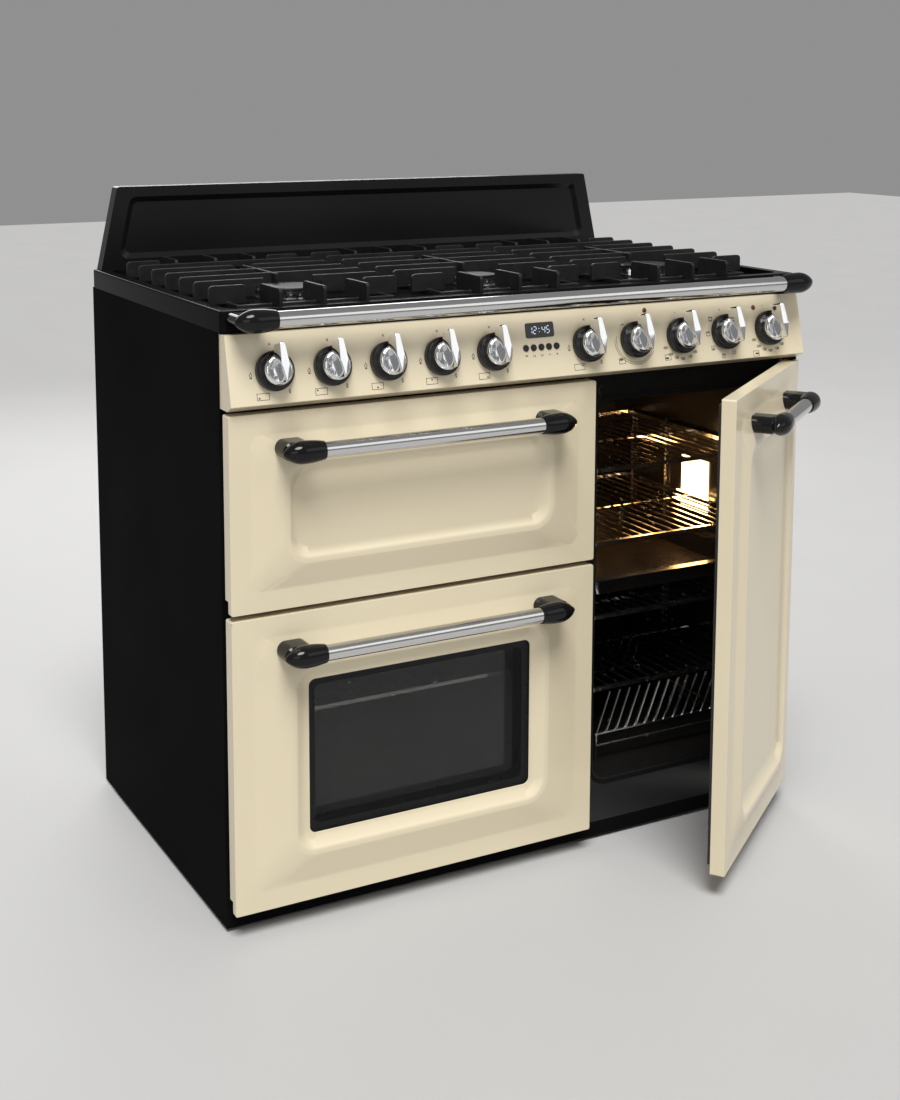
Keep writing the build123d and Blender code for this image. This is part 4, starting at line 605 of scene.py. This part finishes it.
DIAL_RADIUS = 36.0
DIGIT_SIZE = 1.6
DIGIT_GAP = 2.7
FUNCTION_SQUARES = ((-27, 22), (-34, -1), (-27, -24), (-8, -38), (13, -33))
LAMP_MARK = (30, 6)
STAR_MARK = (29, -13)
LOCK_MARK = (28, 20)
FULL_TURN = 359
OFF_DOT = (-7, 37)
OFF_LINE = (-7, 36)
FUNCTION_SQUARE = 6.4
LOWER_HEAT = (0, 2)
UPPER_HEAT = (0, 1, 3)
FAN = (2, 3, 4)
GAS_KNOBS = 6
GRILL_KNOB = 7
MAIN_KNOB = 8
FUNCTION_KNOB = 9
KNOB_COUNT = 10
knob_joints = [joints[f"knob_{knob}_turn"] for knob in range(1, KNOB_COUNT + 1)]
fascia_out = Vector(knob_joints[0]["axis"])
fascia_right = Vector((1, 0, 0))
fascia_up = fascia_out.cross(fascia_right)
prints = Form((0, 0, 0), fascia_right, fascia_up)


def draw(path, centre, scale=1.0, width=THIN):
    """Line on the panel, moved to a centre and scaled."""
    moved = [(centre[0] + u * scale, centre[1] + v * scale) for u, v in path]
    prints.line(moved, width, PRINT_LOW, PRINT_HIGH)


def frame_mark(centre, width, tall):
    """Outline of a rectangle."""
    u = width / 2
    v = tall / 2
    draw([(-u, -v), (u, -v), (u, v), (-u, v), (-u, -v)], centre)


def filled(centre, width, tall):
    """Filled rectangle."""
    u = width / 2
    v = tall / 2
    outline = [(-u, -v), (u, -v), (u, v), (-u, v)]
    prints.prism([(centre[0] + a, centre[1] + b) for a, b in outline], PRINT_LOW, PRINT_HIGH)


def number(text, centre):
    """Small number, centred."""
    start = centre[0] - DIGIT_GAP * (len(text) - 1) / 2 - DIGIT_SIZE / 2
    for place, digit in enumerate(text):
        for path in STROKES[digit]:
            draw(path, (start + DIGIT_GAP * place, centre[1] - DIGIT_SIZE), DIGIT_SIZE)


def dot(centre, radius):
    """Filled spot."""
    prints.disc(centre, radius, PRINT_LOW, PRINT_HIGH)


def ring_mark(centre, radius, start, end, width=THIN):
    """Arc or ring."""
    prints.arc(centre, radius, start, end, width, PRINT_LOW, PRINT_HIGH)


def gas_marks(spot):
    """Off mark, two flames and the burner's place."""
    draw([(-1, -1), (1, 1)], OFF_CROSS, 1.3)
    draw([(-1, 1), (1, -1)], OFF_CROSS, 1.3)
    draw(FLAME, HIGH_FLAME)
    filled((HIGH_FLAME[0], HIGH_FLAME[1] - 4.6), 3.4, 1.6)
    draw(FLAME, LOW_FLAME, LOW_FLAME_SIZE)
    filled((LOW_FLAME[0], LOW_FLAME[1] - 3.1), 2.4, 1.1)
    frame_mark(BURNER_MAP, 18, 9)
    dot((BURNER_MAP[0] + spot[0], BURNER_MAP[1] + spot[1]), 1.3)


def oven_mark(centre, part):
    """Cooker outline with one oven filled in."""
    frame_mark(centre, 11, 8.5)
    filled((centre[0] + part[0], centre[1] + part[1]), 6.0, 2.6)


def dial_marks(centre, part):
    """Temperatures round a dial."""
    dot(OFF_DOT, 0.8)
    for text, degrees in DIAL_NUMBERS.items():
        angle = radians(degrees)
        number(text, (DIAL_RADIUS * cos(angle), DIAL_RADIUS * sin(angle)))
    oven_mark(centre, part)


def function_marks():
    """Oven functions: squares with lines for the elements, a fan, a lamp and a star."""
    draw([(0, -1.4), (0, 1.4)], OFF_LINE, width=BOLD)
    for place, centre in enumerate(FUNCTION_SQUARES):
        frame_mark(centre, FUNCTION_SQUARE, FUNCTION_SQUARE)
        if place in LOWER_HEAT:
            draw([(-2, -1.9), (2, -1.9)], centre, width=BOLD)
        if place in UPPER_HEAT:
            draw([(-2, 1.9), (2, 1.9)], centre, width=BOLD)
        if place in FAN:
            draw([(-1.5, 0), (1.5, 0)], centre)
            draw([(0, -1.5), (0, 1.5)], centre)
    ring_mark(LAMP_MARK, 1.9, 0, FULL_TURN)
    draw([(-0.9, -2.9), (0.9, -2.9)], LAMP_MARK)
    for turn in range(3):
        angle = tau * turn / 6
        u = cos(angle) * 2.6
        v = sin(angle) * 2.6
        draw([(-u, -v), (u, v)], STAR_MARK)


for knob, joint in enumerate(knob_joints, start=1):
    prints.origin = Vector(joint["pos_m"])
    if knob <= GAS_KNOBS:
        gas_marks(BURNER_DOTS[knob - 1])
    elif knob == GRILL_KNOB:
        ring_mark((0, 0), 35.0, 168, 350)
        ring_mark((0, 0), 38.0, 176, 330)
        ring_mark((-21, 21), 4.2, 35, 145, BOLD)
        oven_mark((-28, -31), (-1.6, 2.0))
    elif knob == MAIN_KNOB:
        dial_marks((-29, -32), (-1.6, -1.2))
    elif knob == FUNCTION_KNOB:
        function_marks()
    else:
        dial_marks((-30, -39), (1.6, 0.0))
        ring_mark(LOCK_MARK, 1.8, 0, FULL_TURN)
        draw([(-1.2, -1.2), (1.2, 1.2)], LOCK_MARK)

# Marks under the clock's buttons
CLOCK_UP = 26.67
BUTTON_MARK_UP = -11.0
BUTTON_PITCH = 13.4
panel_middle = Vector((0, knob_joints[0]["pos_m"][1], knob_joints[0]["pos_m"][2]))
prints.origin = panel_middle
for place in range(-2, 3):
    centre = (place * BUTTON_PITCH, BUTTON_MARK_UP)
    if place == -2:
        ring_mark(centre, 1.6, 0, 180)
        draw([(-2, 0), (2, 0)], centre)
    elif place in (-1, 0):
        draw([(-1.8, 1), (-1.4, -1.4), (1.4, -1.4), (1.8, 1)], centre)
    else:
        draw([(-1.5, 0), (1.5, 0)], centre)
        if place == 2:
            draw([(0, -1.5), (0, 1.5)], centre)
prints.piece("fascia_prints", "cabinet", "ink")

# Clock digits: seven bars each, with cut ends
DIGIT_WIDE = 5.2
DIGIT_TALL = 10.4
DIGIT_PITCH = 7.6
DIGIT_BAR = 0.75
DIGIT_SLANT = 0.10
DIGIT_LOW = 0.98
DIGIT_HIGH = 1.06
DIGIT_LEFT = -19.5
SEGMENTS = {
    "top": ((0.0, 1.0), (1.0, 1.0)),
    "middle": ((0.0, 0.5), (1.0, 0.5)),
    "bottom": ((0.0, 0.0), (1.0, 0.0)),
    "high_left": ((0.0, 0.5), (0.0, 1.0)),
    "high_right": ((1.0, 0.5), (1.0, 1.0)),
    "low_left": ((0.0, 0.0), (0.0, 0.5)),
    "low_right": ((1.0, 0.0), (1.0, 0.5)),
}
LIT = {
    "1": ("high_right", "low_right"),
    "2": ("top", "high_right", "middle", "low_left", "bottom"),
    "4": ("high_left", "high_right", "middle", "low_right"),
    "5": ("top", "high_left", "middle", "low_right", "bottom"),
}
SEGMENT_GAP = 0.7
TIME_SHOWN = "12 45"
COLON_RADIUS = 0.6
COLON_RISE = 2.2
COLON_LEAN = 0.6
clock = Form(panel_middle, fascia_right, fascia_up)


def segment(left, start, end):
    """One lit bar, shortened at both ends and leaning with the digit."""
    u0 = start[0] * DIGIT_WIDE
    v0 = start[1] * DIGIT_TALL
    u1 = end[0] * DIGIT_WIDE
    v1 = end[1] * DIGIT_TALL
    length = ((u1 - u0) ** 2 + (v1 - v0) ** 2) ** 0.5
    a = (u1 - u0) / length
    b = (v1 - v0) / length
    half = DIGIT_BAR / 2
    trail = [
        (SEGMENT_GAP, 0),
        (SEGMENT_GAP + half, -half),
        (length - SEGMENT_GAP - half, -half),
        (length - SEGMENT_GAP, 0),
        (length - SEGMENT_GAP - half, half),
        (SEGMENT_GAP + half, half),
    ]
    outline = []
    for along, across in trail:
        u = u0 + a * along - b * across
        v = v0 + b * along + a * across
        outline.append((left + u + v * DIGIT_SLANT, CLOCK_UP - DIGIT_TALL / 2 + v))
    clock.prism(outline, DIGIT_LOW, DIGIT_HIGH)


for place, digit in enumerate(TIME_SHOWN):
    left = DIGIT_LEFT + DIGIT_PITCH * place
    if digit == " ":
        colon = left + DIGIT_WIDE / 2 + COLON_LEAN
        for v in (-COLON_RISE, COLON_RISE):
            clock.disc((colon, CLOCK_UP + v), COLON_RADIUS, DIGIT_LOW, DIGIT_HIGH)
        continue
    for part in LIT[digit]:
        segment(left, *SEGMENTS[part])
clock.piece("clock_digits", "cabinet", "digit")

# Amber indicator lamps, each a dome in a collar
DOME = ((3.9, -0.02), (3.9, 0.7), (3.5, 1.0), (3.2, 1.0), (3.0, 1.5), (2.4, 2.1), (1.4, 2.5), (0.5, 2.6))
INDICATORS = {GRILL_KNOB: (23, 44), KNOB_COUNT: (-26, 35)}
for knob, place in INDICATORS.items():
    lamp = Form(knob_joints[knob - 1]["pos_m"], fascia_right, fascia_up)
    lamp.lathe(place, DOME, FINE_STEPS)
    lamp.piece(f"indicator_{knob}", "cabinet", "amber", True)

# Black print round the window, behind the outer pane and in front of the inner one: name, place in Y,
# and how far the outer and the inner edge lie outside the window
WINDOW_MIDDLE = (-199.0, 253.0)
WINDOW_HALF = (184.0, 115.0)
BORDERS = (
    ("window_print_outer", -304.4, 4.0, -11.0),
    ("window_print_inner", -279.8, 10.0, -12.0),
)
BORDER_THICKNESS = 0.25
BORDER_CORNER = 9.0
CORNER_STEPS = 6


def rounded(half_u, half_v, corner):
    """Rounded rectangle, anticlockwise."""
    outline = []
    for turn, (sign_u, sign_v) in enumerate(((1, -1), (1, 1), (-1, 1), (-1, -1))):
        for step in range(CORNER_STEPS + 1):
            angle = radians(90 * (turn - 1) + 90 * step / CORNER_STEPS)
            u = sign_u * (half_u - corner) + corner * cos(angle)
            v = sign_v * (half_v - corner) + corner * sin(angle)
            outline.append((u, v))
    return outline


def border(name, y, outer, inner):
    """Thin closed frame with rounded corners."""
    form = Form((WINDOW_MIDDLE[0] * MM, y * MM, WINDOW_MIDDLE[1] * MM), (1, 0, 0), (0, 0, 1))
    big = rounded(WINDOW_HALF[0] + outer, WINDOW_HALF[1] + outer, BORDER_CORNER)
    small = rounded(WINDOW_HALF[0] + inner, WINDOW_HALF[1] + inner, BORDER_CORNER)
    count = len(big)
    points = []
    for lift in (0.0, BORDER_THICKNESS):
        for outline in (big, small):
            points += [form.at(u, v, lift) for u, v in outline]
    faces = []
    for i in range(count):
        j = (i + 1) % count
        faces.append((2 * count + i, 2 * count + j, 3 * count + j, 3 * count + i))
        faces.append((j, i, count + i, count + j))
        faces.append((i, j, 2 * count + j, 2 * count + i))
        faces.append((count + j, count + i, 3 * count + i, 3 * count + j))
    form.add(points, faces)
    form.piece(name, "main_door", "border")


for name, y, outer, inner in BORDERS:
    border(name, y, outer, inner)

# Hexagon screws with washers
WASHER = ((4.6, -0.02), (4.6, 0.6), (4.2, 0.9), (2.6, 0.9))
HEXAGON = ((3.3, 0.85), (3.3, 2.8), (2.9, 3.2), (1.0, 3.2))
WASHER_STEPS = 20
HEXAGON_STEPS = 6


def screws(name, origin, right, up, places):
    """Row of screws on one face."""
    form = Form(origin, right, up)
    for place in places:
        form.lathe(place, WASHER, WASHER_STEPS)
        form.lathe(place, HEXAGON, HEXAGON_STEPS)
    form.piece(name, "cabinet", "screw", True)


BACK = 300.0
BACK_SIDE = 488.0
BACK_LEVELS = (60.0, 250.0, 440.0, 600.0, 740.0, 856.0)
BACK_COLUMNS = (330.0, 165.0, 0.0, -165.0, -330.0)
BACK_ROWS = (44.0, 860.0)
back_places = [(side * BACK_SIDE, level) for side in (1, -1) for level in BACK_LEVELS]
back_places += [(column, level) for column in BACK_COLUMNS for level in BACK_ROWS]
screws("back_screws", (0, BACK * MM, 0), (-1, 0, 0), (0, 0, 1), back_places)
COVER_FRONT = 140.0
COVER_SCREW = 95.0
COVERS = {"main": (-199.0, 258.0), "tall": (301.0, 408.5)}
cover_places = [(u * COVER_SCREW, v * COVER_SCREW) for u in (-1, 1) for v in (-1, 1)]
for label, (x, z) in COVERS.items():
    middle = (x * MM, COVER_FRONT * MM, z * MM)
    screws(f"{label}_cover_screws", middle, (1, 0, 0), (0, 0, 1), cover_places)

# Pressed slots and a boss on the front frame, above the tall oven
FRAME_FACE = -278.0
PRESS_LOW = -0.1
PRESS_HIGH = 0.7
PRESS_WIDTH = 1.4
PRESS = (PRESS_WIDTH, PRESS_LOW, PRESS_HIGH)
SLOT_LOW = 741.0
SLOT_HIGH = 753.0
SLOTS = ((160.0, 232.0), (252.0, 336.0), (356.0, 424.0))
BOSS_PLACE = (133.0, 735.0)
BOSS = ((8.0, PRESS_LOW), (8.0, 0.5), (7.0, 1.2), (4.6, 1.2), (4.2, 0.7), (1.4, 0.7))
pressings = Form((0, FRAME_FACE * MM, 0), (1, 0, 0), (0, 0, 1))
slot_round = (SLOT_HIGH - SLOT_LOW) / 2
slot_middle = SLOT_LOW + slot_round
for left, right in SLOTS:
    end = right - slot_round
    for level in (SLOT_LOW, SLOT_HIGH):
        pressings.line([(left, level), (end, level)], *PRESS)
    pressings.arc((end, slot_middle), slot_round, -90, 90, *PRESS)
    pressings.arc((left, slot_middle), slot_round, 90, 270, *PRESS)
pressings.lathe(BOSS_PLACE, BOSS, FINE_STEPS)
pressings.piece("front_frame_pressings", "cabinet", "frame", True)

# Igniters: a ceramic pin with a steel tip on each burner's flange. Burners by X, Y and radius
BURNERS = (
    (-325, -115, 46),
    (-325, 95, 34),
    (0, -115, 34),
    (0, 95, 34),
    (325, -115, 46),
    (325, 95, 34),
)
FLANGE_TOP = 892.5
IGNITER_ANGLE = radians(205)
IGNITER_OUT = 2.6
PIN = ((2.2, -0.1), (2.2, 7.5), (1.9, 8.3), (1.2, 8.6))
TIP = ((0.7, 8.4), (0.7, 10.6), (0.4, 11.0))
PIN_STEPS = 16
TIP_STEPS = 10
pins = Form((0, 0, FLANGE_TOP * MM), (1, 0, 0), (0, 1, 0))
tips = Form((0, 0, FLANGE_TOP * MM), (1, 0, 0), (0, 1, 0))
for x, y, radius in BURNERS:
    reach = radius + IGNITER_OUT
    spot = (x + reach * cos(IGNITER_ANGLE), y + reach * sin(IGNITER_ANGLE))
    pins.lathe(spot, PIN, PIN_STEPS)
    tips.lathe(spot, TIP, TIP_STEPS)
pins.piece("igniter_pins", "cabinet", "ceramic", True)
tips.piece("igniter_tips", "cabinet", "screw", True)


# Studio: a pale floor, a grey surround and soft lights
def area_light(name, place, target, size, power, colour=(1, 1, 1)):
    """Soft lamp that faces a point."""
    lamp = bpy.data.lights.new(name, "AREA")
    lamp.shape = "RECTANGLE"
    lamp.size, lamp.size_y = size
    lamp.energy = power
    lamp.color = colour
    thing = bpy.data.objects.new(name, lamp)
    thing.location = place
    thing.rotation_euler = (Vector(target) - Vector(place)).to_track_quat("-Z", "Y").to_euler()
    thing.visible_camera = False
    scene.collection.objects.link(thing)


KEY_FROM = Vector((-0.35, -0.85, 1.73))
KEY_POWER = 3.7
KEY_SOFTNESS = radians(28)
key = bpy.data.lights.new("key", "SUN")
key.energy = KEY_POWER
key.angle = KEY_SOFTNESS
key_lamp = bpy.data.objects.new("key", key)
key_lamp.rotation_euler = (-KEY_FROM).to_track_quat("-Z", "Y").to_euler()
scene.collection.objects.link(key_lamp)

# Soft lamps: place, the point that each faces, size and power
SOFT_LAMPS = {
    "front": ((-2.6, -3.2, 1.9), (0, -0.2, 0.5), (1.8, 2.0), 13),
    "fill": ((1.6, -2.9, 2.3), (0.1, -0.2, 0.5), (2.2, 1.6), 10),
    "back": ((0.6, 3.0, 2.2), (0, 0.2, 0.6), (2.6, 1.6), 45),
}
for name, (place, target, size, power) in SOFT_LAMPS.items():
    area_light(name, place, target, size, power)

# Light of the oven lamp: its lens, and the glow on the roof and the guides above it
LENS_POWER = 1.0
LENS_GAP = 0.002
GLOW_POWER = 0.9
GLOW_SIZE = 0.03
GLOW_IN = 0.10
GLOW_UP = 0.035
lens_low, lens_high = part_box("oven_lamp")
lens_middle = (lens_low + lens_high) / 2
lens_place = Vector((lens_low.x - LENS_GAP, lens_middle.y, lens_middle.z))
lens_target = lens_place - Vector((1, 0, 0))
lens_size = (lens_high.z - lens_low.z, lens_high.y - lens_low.y)
area_light("oven_light", lens_place, lens_target, lens_size, LENS_POWER, LAMP_LIGHT)
glow = bpy.data.lights.new("oven_glow", "POINT")
glow.energy = GLOW_POWER
glow.color = LAMP_LIGHT
glow.shadow_soft_size = GLOW_SIZE
glow_lamp = bpy.data.objects.new("oven_glow", glow)
glow_lamp.location = (lens_low.x - GLOW_IN, lens_middle.y, lens_high.z + GLOW_UP)
scene.collection.objects.link(glow_lamp)

world = bpy.data.worlds.new("studio")
world.use_nodes = True
surround = world.node_tree.nodes["Background"]
surround.inputs["Color"].default_value = (*BACKDROP, 1.0)
surround.inputs["Strength"].default_value = 1.0
scene.world = world

FLOOR_HALF = 12.0
floor_mesh = bpy.data.meshes.new("floor")
corners = [
    (-FLOOR_HALF, -FLOOR_HALF, 0),
    (FLOOR_HALF, -FLOOR_HALF, 0),
    (FLOOR_HALF, FLOOR_HALF, 0),
    (-FLOOR_HALF, FLOOR_HALF, 0),
]
floor_mesh.from_pydata(corners, [], [(0, 1, 2, 3)])
floor = bpy.data.objects.new("floor", floor_mesh)
floor_paint = Paint("floor_paint", FLOOR, 0.6)
floor_paint.rough(floor_paint.noise(3), 0.55, 0.65)
floor_mesh.materials.append(floor_paint.material)
scene.collection.objects.link(floor)

# Camera
camera_data = bpy.data.cameras.new("camera")
camera_data.sensor_width = SENSOR_WIDTH
camera_data.lens = FOCAL_PIXELS * SENSOR_WIDTH / PHOTO_HEIGHT
camera_data.shift_x = (PHOTO_WIDTH / 2 - PRINCIPAL[0]) / PHOTO_HEIGHT
camera_data.shift_y = (PRINCIPAL[1] - PHOTO_HEIGHT / 2) / PHOTO_HEIGHT
camera = bpy.data.objects.new("camera", camera_data)
camera.location = CAMERA_PLACE
forward = Vector((
    sin(CAMERA_YAW) * cos(CAMERA_PITCH),
    cos(CAMERA_YAW) * cos(CAMERA_PITCH),
    -sin(CAMERA_PITCH),
))
camera.rotation_mode = "QUATERNION"
camera.rotation_quaternion = forward.to_track_quat("-Z", "Y")
scene.collection.objects.link(camera)
scene.camera = camera
